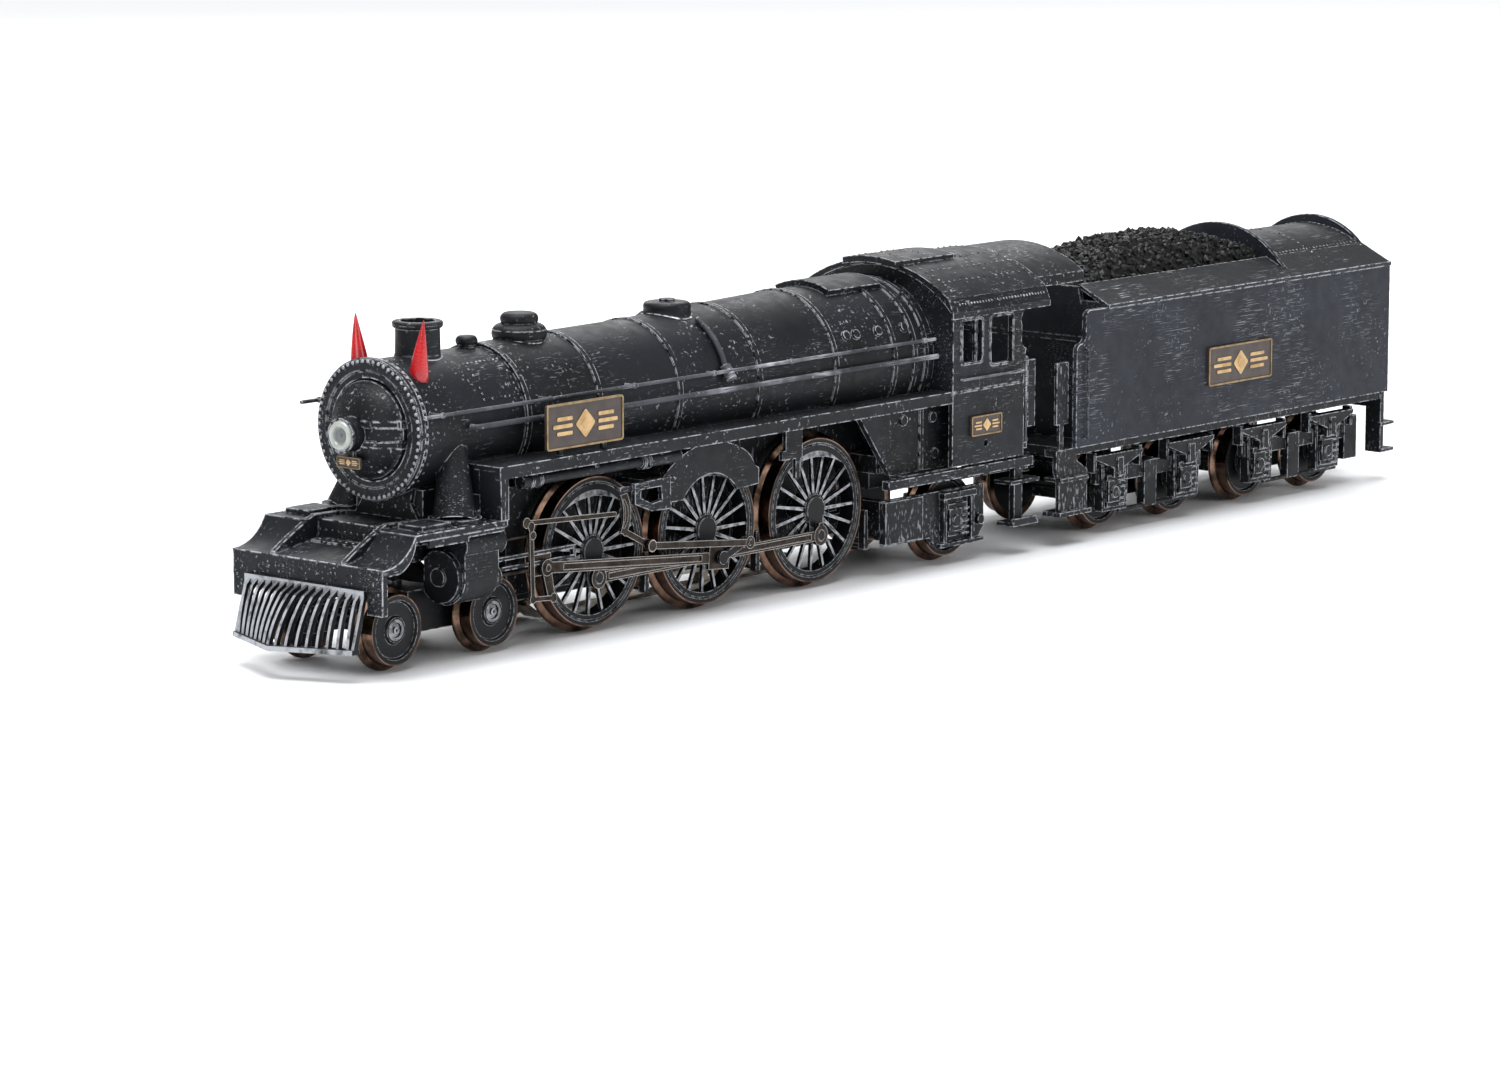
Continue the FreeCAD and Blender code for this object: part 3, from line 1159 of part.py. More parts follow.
def pickup_shoe():
    """The long sprung contact shoe under the chassis for studs between the rails."""
    rail = plate_y(
        [
            (-29.0, 2.6), (-26.0, 0.5), (27.0, 0.5), (30.0, 2.6), (29.6, 3.0), (26.7, 1.0),
            (-25.7, 1.0), (-28.6, 3.0),
        ],
        -1.5, 1.5,
    )
    posts = [box(x - 0.8, x + 0.8, -1.0, 1.0, 0.9, 3.0) for x in (-10.0, 10.0)]
    arm = box(-11.0, 11.0, -1.0, 1.0, 2.6, 3.2)
    base = box(-3.0, 3.0, -2.0, 2.0, 3.1, 3.6)
    return fused([rail, arm, base] + posts)


def toothed_disc(x, z, teeth, module, y0, y1, bore):
    """A spur gear with straight-sided teeth that stay clear of their mates."""
    pitch = 0.5 * module * teeth
    tip = pitch + 0.42 * module
    root = pitch - 0.85 * module
    tip_half = 0.12 * module * math.pi
    root_half = 0.25 * module * math.pi
    pieces = [rod_y(y0, y1, 0, 0, root)]
    for index in range(teeth):
        tooth = plate_y(
            [
                (root - 0.15, -root_half), (tip, -tip_half), (tip, tip_half),
                (root - 0.15, root_half),
            ],
            y0, y1,
        )
        tooth.rotate(Vector(0, 0, 0), Vector(0, 1, 0), index * 360.0 / teeth)
        pieces.append(tooth)
    gear = pieces[0].multiFuse(pieces[1:])
    if bore > 0:
        gear = gear.cut(rod_y(y0 - 1, y1 + 1, 0, 0, bore))
    gear.translate(Vector(x, 0, z))
    return gear


def drive_gear():
    """The gear pressed on the middle axle."""
    return toothed_disc(0, DRIVER_RADIUS, AXLE_TEETH, GEAR_MODULE, -1.3, 1.3, AXLE_RADIUS)


def reduction_gear():
    """The gear between the worm and the axle gear, on its own pin, turned a quarter of a tooth to mesh."""
    gear = toothed_disc(0, 0, IDLER_TEETH, GEAR_MODULE, -1.3, 1.3, 0)
    gear.rotate(Vector(0, 0, 0), Vector(0, 1, 0), IDLER_PHASE)
    gear.translate(Vector(0, 0, REDUCTION_Z))
    return fused([gear, rod_y(-2.9, 2.9, 0, REDUCTION_Z, 0.8)])


def motor():
    """The can motor: a flat-sided tube with end bells, a bush at each end and brush holders."""
    x0, x1 = MOTOR_X
    can = rod_x(x0, x1, 0, MOTOR_Z, MOTOR_RADIUS).common(box(x0, x1, -5.5, 5.5, 0, 60))
    front = rod_x(x1 - 0.1, x1 + 0.8, 0, MOTOR_Z, 2.2)
    rear = rod_x(x0 - 0.8, x0 + 0.1, 0, MOTOR_Z, 2.2)
    brushes = [
        box(x0 - 0.6, x0 + 0.1, side * 3.4 - 0.6, side * 3.4 + 0.6, MOTOR_Z - 1.5, MOTOR_Z + 1.5)
        for side in (-1, 1)
    ]
    body = fused([can, front, rear] + brushes)
    return body.cut(rod_x(x0 - 2, x1 + 2, 0, MOTOR_Z, 0.75 + RUNNING_GAP))


def worm_shaft():
    """The motor shaft with its worm, drawn with rings for the thread."""
    x0, x1 = MOTOR_X
    shaft = rod_x(x0 - 1.6, 5.0, 0, MOTOR_Z, 0.75)
    core = rod_x(-4.4, 4.4, 0, MOTOR_Z, 1.35)
    rings = []
    for index in range(7):
        x = -3.9 + index * GEAR_MODULE * math.pi
        rings.append(
            turned_x(
                [(x - 0.35, 1.3), (x - 0.15, 1.75), (x + 0.15, 1.75), (x + 0.35, 1.3)], 0, MOTOR_Z,
            )
        )
    return fused([shaft, core] + rings)


def circuit_board():
    """The decoder board above the motor, with its chips and plug."""
    z = 35.2
    board = box(-30.0, 6.0, -5.0, 5.0, z, z + 0.8)
    chips = [
        box(x, x + w, -2.4, 2.4, z + 0.75, z + 1.9)
        for x, w in ((-27.0, 6.0), (-17.0, 5.0), (-8.0, 3.5))
    ]
    plug = box(0.0, 4.5, -4.0, 4.0, z + 0.75, z + 2.6)
    posts = [rod_z(z - 2.15, z + 0.1, x, 0, 0.8) for x in (-26.0, -13.0)]
    return fused([board, plug] + chips + posts)


def chassis_screws():
    """The two slotted screws of the keeper plate and the two shouldered pivot screws."""
    screws = []
    for x in (32.0, -30.0):
        head = rod_z(3.7, 4.55, x, 0, 1.3).cut(box(x - 2, x + 2, -0.2, 0.2, 3.6, 4.0))
        screws.append(fused([head, rod_z(4.5, 5.5, x, 0, 0.7)]))
    return group(screws + [pilot_pivot_screw(), truck_pivot_screw()])


# ---- Pilot bogie, trailing truck and drawbar

def pilot_bogie_frame():
    """The inside frame of the pilot bogie, with a slotted bolster round the pivot."""
    z = PILOT_WHEEL_RADIUS
    front = PILOT_X["front"]
    rear = PILOT_X["rear"]
    side = box(rear - 2.6, front + 2.4, 4.2, 5.8, 3.0, 7.0)
    cross = [
        box(x0, x1, -4.4, 4.4, 3.6, 6.4)
        for x0, x1 in ((rear + 2.4, rear + 4.4), (front - 4.2, front - 2.2))
    ]
    bolster = box(PILOT_PIVOT_X - 3.2, PILOT_PIVOT_X + 3.2, -5.8, 5.8, 6.9, 9.0)
    web = box(PILOT_PIVOT_X - 3.2, PILOT_PIVOT_X + 3.2, -4.4, 4.4, 3.6, 6.95)
    bogie = fused([side, mirrored(side), bolster, web] + cross)
    tools = [rod_y(-10, 10, x, z, SMALL_AXLE_RADIUS + RUNNING_GAP) for x in (front, rear)]
    tools.append(rod_z(0, 20, PILOT_PIVOT_X, 0, 1.2))
    return cut(bogie, tools)


def pilot_pivot_screw():
    """The shouldered screw on which the pilot bogie turns."""
    return fused([rod_z(2.4, 3.5, PILOT_PIVOT_X, 0, 2.2), rod_z(3.4, 9.68, PILOT_PIVOT_X, 0, 1.15)])


def axlebox_side(x, wheel_z, y0, y1):
    """A ribbed axlebox with its cover, drawn on the outer face of a frame."""
    case = box(x - 2.3, x + 2.3, y0, y1, wheel_z - 2.6, wheel_z + 2.4)
    cover = box(x - 0.4, x + 2.6, y1 - 0.1, y1 + 0.5, wheel_z - 1.8, wheel_z + 1.7)
    cap = rod_y(y1 + 0.3, y1 + 0.8, x + 1.1, wheel_z - 0.2, 0.9)
    ribs = [
        box(x - 2.3, x - 0.3, y1 - 0.1, y1 + 0.4, wheel_z - 2.5 + k, wheel_z - 2.2 + k)
        for k in (0.0, 0.95, 1.9, 2.85, 3.8)
    ]
    return fused([case, cover, cap] + ribs)


def trailing_truck_frame():
    """The outside frame of the trailing truck: front box, axlebox, spring and a tongue to its pivot."""
    y0 = 10.9
    y1 = 11.7
    z = TRAILING_WHEEL_RADIUS
    x = TRAILING_X
    side = plate_y(
        [
            (-39.2, 10.6), (-39.2, 3.6), (-50.2, 3.6), (-51.6, 2.2), (-62.0, 2.2), (-63.6, 4.0),
            (-63.6, 10.6),
        ],
        y0, y1,
    )
    front_box = box(-48.0, -39.0, y0, y1 + 0.5, 3.9, 10.4)
    box_and_cover = axlebox_side(x, z - 0.3, y1 - 0.1, y1 + 0.6)
    pedestals = [box(px, px + 0.7, y1 - 0.1, y1 + 0.9, 2.6, 10.2) for px in (-60.2, -53.4)]
    spring = box(-60.5, -52.6, y1 - 0.1, y1 + 1.1, 9.3, 10.3)
    foot_bar = box(-62.5, -52.0, y1 - 0.1, y1 + 0.9, 1.9, 2.5)
    link = rod_y(y1 - 0.1, y1 + 0.7, -62.2, 5.2, 0.8)
    side = fused([side, front_box, box_and_cover, spring, foot_bar, link] + pedestals)
    side = side.cut(rod_y(0, y1 - 0.4, x, z, SMALL_AXLE_RADIUS + RUNNING_GAP))
    cross = box(-45.2, -43.4, -y0 - 0.1, y0 + 0.1, 3.6, 9.6)
    tongue = box(-44.5, TRAILING_PIVOT_X + 2.2, -2.4, 2.4, 6.2, 7.8)
    truck = fused([side, mirrored(side), cross, tongue])
    return truck.cut(rod_z(0, 20, TRAILING_PIVOT_X, 0, 0.9 + RUNNING_GAP))


def truck_pivot_screw():
    """The shouldered screw through the tongue of the trailing truck."""
    x = TRAILING_PIVOT_X
    return fused([rod_z(5.2, 6.1, x, 0, 1.7), rod_z(6.0, 8.38, x, 0, 0.9)])


def trailing_wheelset():
    """The trailing wheels on an axle that runs out into the axleboxes."""
    axle = rod_y(-11.25, 11.25, TRAILING_X, TRAILING_WHEEL_RADIUS, SMALL_AXLE_RADIUS)
    return fused([plain_wheelset(TRAILING_X, TRAILING_WHEEL_RADIUS), axle])


def drawbar():
    """The flat bar between the locomotive and the tender, with a hole at each end."""
    z0, z1 = DRAWBAR_Z
    body = box(TENDER_PIN_X, DRAWBAR_PIN_X, -1.6, 1.6, z0 + 0.05, z1 - 0.05)
    eyes = [rod_z(z0 + 0.05, z1 - 0.05, x, 0, 2.3) for x in (DRAWBAR_PIN_X, TENDER_PIN_X)]
    bar_shape = fused([body] + eyes)
    tools = [rod_z(0, 20, x, 0, 1.0 + RUNNING_GAP) for x in (DRAWBAR_PIN_X, TENDER_PIN_X)]
    return cut(bar_shape, tools)


# ---- Tender

def tender_body():
    """Sides, rear wall, coping, coal space and tank top of the tender as one thin shell."""
    x0 = TENDER_REAR_X
    x1 = TENDER_FRONT_X
    z0, z1 = TENDER_SIDE_Z
    y = TENDER_Y
    side = plate_y(
        [
            (x1, z0), (x1, 29.4), ((x1 - 0.3, 30.2), (x1 - 1.2, 30.6)),
            ((x1 - 2.1, 31.2), (x1 - 2.3, 32.2)), (x1 - 2.3, 34.6),
            ((x1 - 2.8, 35.5), (x1 - 3.8, z1)), (x0, z1), (x0, z0),
        ],
        y - 0.8, y,
    )
    lip = box(x0 - 0.05, -90.0, y - 0.5, y + 0.22, z1 - 0.2, z1 + 0.45)
    cope_y, cope_z = COPING
    cope = plate_x(
        [(y - 0.9, z1), (y, z1), (y, z1 + 0.4), (cope_y, cope_z), (cope_y - 0.4, cope_z - 0.4)], x0,
        -90.0,
    )
    rear = plate_x(
        [(-y, z0), (-y, z1), (-cope_y, cope_z), ((0.0, 43.0), (cope_y, cope_z)), (y, z1), (y, z0)],
        x0, x0 + 0.9,
    )
    bulkhead = plate_x(
        [
            (-y + 0.5, 30.0), (-y + 0.5, z1), (-11.6, 39.0), ((0.0, 43.85), (11.6, 39.0)),
            (y - 0.5, z1), (y - 0.5, 30.0),
        ],
        BULKHEAD_X, BULKHEAD_X + 0.8,
    )
    tank_top = plate_x(
        [(-11.4, 37.6), ((0.0, 41.6), (11.4, 37.6)), (11.4, 36.8), ((0.0, 40.8), (-11.4, 36.8))],
        x0 + 0.8, BULKHEAD_X + 0.1,
    )
    coal_floor = box(BULKHEAD_X, -90.0, -y + 0.7, y - 0.7, 29.8, 30.6)
    front_wall = box(-91.0, -90.1, -y + 0.7, y - 0.7, z0, 36.4)
    front_slope = plate_y([(-91.0, 35.6), (-90.1, 35.6), (-89.2, 38.6), (-90.0, 38.6)], -10.2, 10.2)
    pieces = [side, mirrored(side), rear, bulkhead, tank_top, coal_floor, front_wall, front_slope]
    pieces += both_sides(fused([lip, cope])) + tender_handrails()
    return fused(pieces)


def tender_floor():
    """The tender's underframe plate with its pins, the front steps and the rear steps."""
    z0, z1 = TENDER_FLOOR_Z
    y = TENDER_Y
    plate = box(TENDER_REAR_X, -81.0, -14.2, 14.2, z0, z1)
    sill = box(TENDER_REAR_X, -91.0, -TENDER_SILL_Y, TENDER_SILL_Y, TENDER_SILL_Z, z0 + 0.1)
    pieces = [plate, sill]
    for x in TENDER_BOGIE_X.values():
        pieces.append(rod_z(10.55, z0 + 0.1, x, 0, 2.6))
        pieces.append(rod_z(6.9, 10.6, x, 0, 1.2))
        pieces.append(rod_z(6.2, 7.0, x, 0, 1.8))
    pieces.append(rod_z(10.25, z0 + 0.1, TENDER_PIN_X, 0, 2.4))
    pieces.append(rod_z(9.1, 10.3, TENDER_PIN_X, 0, 1.0))
    pieces.append(rod_z(8.6, 9.15, TENDER_PIN_X, 0, 1.5))
    hanger = plate_y(
        [
            (-77.6, 14.2), (-82.2, 14.2), (-83.0, 12.2), (-85.6, 10.6), (-85.6, 4.4), (-78.4, 4.4),
            (-78.4, 9.4), (-77.6, 11.0),
        ],
        y - 1.2, y - 0.5,
    )
    top_tread = box(-85.4, -78.4, y - 3.4, y, 9.2, 9.8)
    low_tread = box(-86.0, -78.0, y - 3.4, y + 0.1, 3.8, 4.5)
    ears = box(-82.2, -77.6, 12.8, y - 0.5, z0 + 0.3, z1)
    link = box(-82.5, -80.5, 12.8, 14.6, z0, z1)
    pieces += both_sides(fused([hanger, top_tread, low_tread, ears, link]))
    gangway = box(-81.2, -78.2, y - 1.5, y - 1.0, 18.2, 27.9).fuse(
        box(-80.0, -79.0, y - 1.5, y - 1.0, z1 - 0.2, 18.3)
    )
    pieces += both_sides(gangway)
    rear_plate = box(TENDER_REAR_X - 0.8, TENDER_REAR_X + 0.2, -14.4, 14.4, 11.4, z1)
    pieces.append(rear_plate)
    step_post = box(TENDER_REAR_X - 0.8, TENDER_REAR_X + 0.2, 11.4, 14.4, 3.9, 11.6)
    shelves = [
        plate_z(
            [
                (TENDER_REAR_X + 0.2, 11.4), (TENDER_REAR_X - 3.6, 11.4),
                (TENDER_REAR_X - 4.2, 12.2), (TENDER_REAR_X - 4.2, 14.2),
                (TENDER_REAR_X + 0.2, 14.6),
            ],
            z, z + 0.5,
        )
        for z in (8.3, 3.8)
    ]
    pieces += both_sides(fused([step_post] + shelves))
    floor = fused(pieces)
    coupler_post = rod_z(5.7, z0 + 0.1, COUPLER_PIN_X, 0, 0.9)
    post_head = rod_z(5.4, 6.1, COUPLER_PIN_X, 0, 1.4)
    return fused([floor, coupler_post, post_head])


def tender_handrails():
    """The upright handrails at the tender's front corners and two on its rear wall."""
    y = TENDER_Y - 0.1
    front = pipe([(-84.3, y, 15.8), (-84.3, y + 0.6, 15.8), (-84.3, y + 0.6, 29.6), (-84.3, y, 29.6)], 0.22)
    x = TENDER_REAR_X + 0.1
    rear = pipe([(x, 13.6, 17.0), (x - 0.6, 13.6, 17.0), (x - 0.6, 13.6, 31.0), (x, 13.6, 31.0)], 0.22)
    return both_sides(front) + both_sides(rear)


def coal_load():
    """The heap of coal: a pillow-shaped solid that fills the coal space."""
    y = COPING[0] - 0.35
    x0 = BULKHEAD_X + 0.85
    x1 = COAL_FRONT_X
    across = plate_x([(-y, 30.65), (-y, 37.4), ((0.0, 44.0), (y, 37.4)), (y, 30.65)], x0, x1)
    along = plate_y([(x0, 30.65), (x0, 39.4), ((-119.0, 44.0), (x1, 38.0)), (x1, 30.65)], -y, y)
    return across.common(along)


def nameplate(x0, x1, z0, z1, y):
    """A thin plate with a raised rim, a raised lozenge and a bar to each side of it."""
    rim = 0.32
    plate = box(x0, x1, y, y + 0.45, z0, z1)
    recess = box(x0 + rim, x1 - rim, y + 0.3, y + 1, z0 + rim, z1 - rim)
    xm = 0.5 * (x0 + x1)
    zm = 0.5 * (z0 + z1)
    height = z1 - z0
    lozenge = plate_y(
        [
            (xm - 0.32 * height, zm), (xm, zm + 0.32 * height), (xm + 0.32 * height, zm),
            (xm, zm - 0.32 * height),
        ],
        y + 0.25, y + 0.42,
    )
    reach = 0.5 * (x1 - x0) - 0.2 * height
    bars = []
    for side in (-1, 1):
        inner = xm + side * 0.42 * height
        outer = xm + side * reach
        for low in (-0.16, 0.06):
            bars.append(
                box(
                    min(inner, outer), max(inner, outer), y + 0.25, y + 0.42, zm + low * height,
                    zm + (low + 0.1) * height,
                )
            )
    return fused([plate.cut(recess), lozenge] + bars)


def loco_nameplates():
    """The long plates on the running boards, each on two feet, and the small number plates."""
    plate = nameplate(23.4, 39.6, 27.3, 33.8, 14.1)
    feet = [box(x, x + 0.8, 13.3, 14.2, BOARD_TOP_Z + SEAT_GAP, 28.6) for x in (26.5, 35.7)]
    return group(both_sides(fused([plate] + feet)) + number_plates())


def number_plates():
    """The small plates on the cab sides and under the lamp."""
    cab_plate = nameplate(-63.0, -55.5, 19.0, 22.1, CAB_Y + SEAT_GAP)
    front = nameplate(-2.2, 2.2, 26.4, 28.0, 0.0)
    front.rotate(Vector(0, 0, 0), Vector(0, 0, 1), -90)
    front.translate(Vector(BOILER_STATIONS[0][0] + 4.65, 0, 0))
    return both_sides(cab_plate) + [front]


def tender_nameplates():
    """The long plates on the tender sides."""
    return group(both_sides(nameplate(-134.0, -116.6, 20.4, 26.7, TENDER_Y + SEAT_GAP)))


def tender_bogie(place):
    """A tender bogie: two ribbed side frames with axleboxes, leaf springs and brake gear."""
    centre = TENDER_BOGIE_X[place]
    axles = sorted(TENDER_AXLE_X.values(), key=lambda x: abs(x - centre))[:2]
    z = TENDER_WHEEL_RADIUS
    y0 = 11.2
    y1 = 12.2
    ends = (min(axles) - 4.6, max(axles) + 4.2)
    if place == "rear":
        ends = (min(axles) - 8.8, ends[1])
    rail = box(ends[0], ends[1], y0, y1, 7.0, 9.4)
    pieces = [rail]
    if place == "rear":
        pieces.append(box(ends[0], ends[0] + 3.6, y0, y1 + 0.4, 3.4, 10.6))
    for x in axles:
        pieces.append(axlebox_side(x, z + 0.1, y0, y1 + 0.9))
        spring = plate_y(
            [
                (x - 6.2, 11.9), (x - 6.2, 11.3), (x - 1.3, 9.5), (x - 1.3, 8.0), (x + 1.3, 8.0),
                (x + 1.3, 9.5), (x + 6.2, 11.3), (x + 6.2, 11.9),
            ],
            y1 - 0.1, y1 + 1.5,
        )
        pieces.append(spring)
        pieces.append(box(x - 0.7, x + 0.7, y1, y1 + 1.8, 8.2, 11.2))
        pieces += [
            box(x + s * 6.0 - 0.3, x + s * 6.0 + 0.3, y1 - 0.4, y1 + 1.2, 9.2, 12.4)
            for s in (-1, 1)
        ]
        pieces += [
            plate_y(
                [
                    (x + s * 2.9 - 0.3, 3.0), (x + s * 2.9 + 0.3, 3.0), (x + s * 3.2 + 0.3, 10.5),
                    (x + s * 3.2 - 0.3, 10.5),
                ],
                y0, y1 + 0.6,
            )
            for s in (-1, 1)
        ]
        pieces.append(box(x - 3.2, x + 3.2, y0, y1 + 0.6, 2.6, 3.2))
    pieces.append(rod_x(centre - 12.5, centre + 8.0, y1 + 0.1, 2.4, 0.35))
    pieces.append(box(centre - 1.6, centre + 1.6, y0, y1 + 0.5, 2.2, 9.6))
    side = fused(pieces)
    bores = [rod_y(0, y1 - 0.2, x, z, SMALL_AXLE_RADIUS + RUNNING_GAP) for x in axles]
    side = cut(side, bores)
    bolster = box(centre - 2.6, centre + 2.6, -y0 - 0.1, y0 + 0.1, 7.4, 9.6)
    plate = rod_z(9.5, 10.5, centre, 0, 2.5)
    block = box(centre - 7.4, centre + 7.4, -5.3, 5.3, 2.8, 8.6)
    block = block.cut(rod_z(0.0, 7.4, centre, 0, 2.4))
    bogie = fused([side, mirrored(side), bolster, plate, block])
    return bogie.cut(rod_z(0, 20, centre, 0, 1.2 + RUNNING_GAP))


def tender_wheelset(number):
    """Tender wheels on an axle that runs out into the axleboxes."""
    x = TENDER_AXLE_X[number]
    axle = rod_y(-11.9, 11.9, x, TENDER_WHEEL_RADIUS, SMALL_AXLE_RADIUS)
    return fused([plain_wheelset(x, TENDER_WHEEL_RADIUS), axle])


def rear_coupler():
    """The hook coupler with its shank and lift loop, swinging on a post under the tender."""
    x = COUPLER_PIN_X
    shank = box(REAR_TIP_X + 3.4, x, -1.4, 1.4, 6.4, 7.8)
    eye = rod_z(6.4, 7.8, x, 0, 2.2)
    head = box(REAR_TIP_X + 2.4, REAR_TIP_X + 3.6, -3.4, 3.4, 5.8, 8.0)
    loop_sides = [
        box(REAR_TIP_X, REAR_TIP_X + 2.6, side * 3.1 - 0.3, side * 3.1 + 0.3, 7.2, 7.8)
        for side in (-1, 1)
    ]
    loop_end = box(REAR_TIP_X, REAR_TIP_X + 0.6, -3.4, 3.4, 7.2, 7.8)
    hook = plate_y(
        [
            (REAR_TIP_X + 2.6, 6.2), (REAR_TIP_X + 1.2, 6.2), (REAR_TIP_X + 1.2, 7.1),
            (REAR_TIP_X + 2.6, 6.8),
        ],
        -0.7, 0.7,
    )
    coupler = fused([shank, eye, head, loop_end, hook] + loop_sides)
    return coupler.cut(rod_z(0, 20, x, 0, 0.9 + RUNNING_GAP))


# ---- Export

def save(name, shape):
    """Move a piece into the part's own frame and write it."""
    placed = shape.copy()
    placed.translate(Vector(-0.5 * (FRONT_TIP_X + REAR_TIP_X), 0, FLANGE_DEPTH))
    if not placed.Solids or not placed.isValid():
        print("check", name, len(placed.Solids), placed.isValid())
    placed.exportStep("parts/" + name + ".step")


def main():
    """Write every piece."""
    os.makedirs("parts", exist_ok=True)
    fixed = {
        "boiler_shell": boiler_shell, "smokebox_front": smokebox_front, "smokebox_door": smokebox_door,
        "headlamp_housing": headlamp_housing, "headlamp_lens": headlamp_lens, "chimney": chimney,
        "boiler_domes": boiler_domes, "horns": horns, "boiler_rails_and_pipes": boiler_rails_and_pipes,
        "front_footplate": front_footplate, "cowcatcher": cowcatcher,
        "running_boards": running_boards, "firebox_sides": firebox_sides, "cab": cab, "cab_roof": cab_roof,
        "cylinder_block": cylinder_block, "motion_brackets": motion_brackets,
        "chassis_frame": chassis_frame, "keeper_plate": keeper_plate, "pickup_shoe": pickup_shoe,
        "motor": motor, "worm_shaft": worm_shaft, "reduction_gear": reduction_gear,
        "drive_gear": drive_gear,
        "circuit_board": circuit_board, "chassis_screws": chassis_screws,
        "loco_nameplates": loco_nameplates,
        "pilot_bogie_frame": pilot_bogie_frame,
        "trailing_truck_frame": trailing_truck_frame, "trailing_wheelset": trailing_wheelset,
        "drawbar": drawbar, "tender_body": tender_body, "tender_floor": tender_floor,
        "coal_load": coal_load, "tender_nameplates": tender_nameplates,
        "rear_coupler": rear_coupler,
    }
    for name, make in fixed.items():
        save(name, make())
    for place in DRIVER_X:
        save("driver_wheelset_" + place, driver_wheelset(place))
    for place, x in PILOT_X.items():
        save("pilot_wheelset_" + place, plain_wheelset(x, PILOT_WHEEL_RADIUS))
    for place in TENDER_BOGIE_X:
        save("tender_bogie_" + place, tender_bogie(place))
    for number in TENDER_AXLE_X:
        save("tender_wheelset_" + number, tender_wheelset(number))
    for side in ("left", "right"):
        save("coupling_rod_" + side, coupling_rod(side))
        save("main_rod_" + side, main_rod(side))
        save("crosshead_" + side, crosshead(side))
        save("eccentric_rod_" + side, eccentric_rod(side))
        save("expansion_link_" + side, expansion_link(side))
        save("valve_rods_" + side, valve_rods(side))


main()
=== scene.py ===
import json
import logging
import math
import random
from dataclasses import dataclass, field
from enum import Enum
from typing import Any, Callable, Iterable, Mapping, Sequence

import bpy
from mathutils import Euler, Matrix, Quaternion, Vector
from mathutils.bvhtree import BVHTree

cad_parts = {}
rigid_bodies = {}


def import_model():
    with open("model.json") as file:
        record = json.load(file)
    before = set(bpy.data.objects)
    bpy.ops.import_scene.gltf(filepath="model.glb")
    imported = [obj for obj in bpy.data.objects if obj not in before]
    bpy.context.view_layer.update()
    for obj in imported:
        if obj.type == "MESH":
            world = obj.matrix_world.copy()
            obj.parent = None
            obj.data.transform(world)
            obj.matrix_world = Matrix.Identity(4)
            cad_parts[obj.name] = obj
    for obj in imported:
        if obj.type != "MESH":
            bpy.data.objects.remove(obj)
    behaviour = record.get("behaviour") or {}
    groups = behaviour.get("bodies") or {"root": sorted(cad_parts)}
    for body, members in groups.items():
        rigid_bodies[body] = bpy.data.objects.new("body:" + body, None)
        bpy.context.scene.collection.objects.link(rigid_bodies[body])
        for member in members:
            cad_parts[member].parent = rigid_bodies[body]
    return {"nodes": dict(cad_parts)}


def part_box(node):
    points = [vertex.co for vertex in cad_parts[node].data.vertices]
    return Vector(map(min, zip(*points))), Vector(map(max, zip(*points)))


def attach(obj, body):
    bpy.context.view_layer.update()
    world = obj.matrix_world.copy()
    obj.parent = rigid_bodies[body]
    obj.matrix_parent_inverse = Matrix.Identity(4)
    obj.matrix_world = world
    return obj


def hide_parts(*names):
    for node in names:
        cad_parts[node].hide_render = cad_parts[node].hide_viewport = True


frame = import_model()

LOG = logging.getLogger("steam_locomotive")
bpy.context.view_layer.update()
MM = 0.001
FLANGE_DEPTH = 1.0  # mm, how far the flanges hang below the treads
AXLE_CENTRE = sum(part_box("driver_wheelset_middle"), Vector()) / 2


def at(x: float, y: float, z: float) -> Vector:
    """Turns a place on the engine into the frame's metres.

    Args:
        x: Millimetres forward of the middle driving axle.
        y: Millimetres to the left of the centre line.
        z: Millimetres above the rail.

    Returns:
        The point in metres.
    """
    return Vector((AXLE_CENTRE.x + x * MM, y * MM, (z + FLANGE_DEPTH) * MM))


def linear(hex_colour: str) -> tuple[float, float, float, float]:
    """Turns an sRGB hex colour into the linear colour that a shader takes.

    Args:
        hex_colour: Six hex digits after a hash.

    Returns:
        Linear red, green, blue and an alpha of one.
    """
    parts = [int(hex_colour[i:i + 2], 16) / 255 for i in (1, 3, 5)]
    shades = [c / 12.92 if c <= 0.04045 else ((c + 0.055) / 1.055) ** 2.4 for c in parts]
    return (shades[0], shades[1], shades[2], 1.0)


def add_node(tree: bpy.types.NodeTree, kind: str, inputs: Mapping[Any, Any] | None = None,
             **settings: Any) -> bpy.types.Node:
    """Adds one node with its settings and links.

    Args:
        tree: The node tree of a material or world.
        kind: Blender's name for the node type.
        inputs: For each input's name or number, the socket to link or the value to set.
        **settings: The node's own properties.

    Returns:
        The new node.
    """
    made = tree.nodes.new(kind)
    for name, value in settings.items():
        setattr(made, name, value)
    for key, value in (inputs or {}).items():
        if isinstance(value, bpy.types.NodeSocket):
            tree.links.new(value, made.inputs[key])
        else:
            made.inputs[key].default_value = value
    return made


class Grain(Enum):
    """Which way rub marks run: how much each axis is squeezed, so a small number is a long mark."""

    ALONG = (0.6, 3.2, 6.0)
    LONG = (0.3, 3.0, 8.0)
    UPRIGHT = (2.2, 2.2, 0.8)
    ROUND = (1.6, 1.6, 1.6)


def new_material(name: str) -> tuple[bpy.types.Material, bpy.types.NodeTree]:
    """Starts an empty node material.

    Args:
        name: The material's name.

    Returns:
        The material and its node tree, which holds nothing yet.
    """
    material = bpy.data.materials.new(name)
    material.use_nodes = True
    material.node_tree.nodes.clear()
    return material, material.node_tree


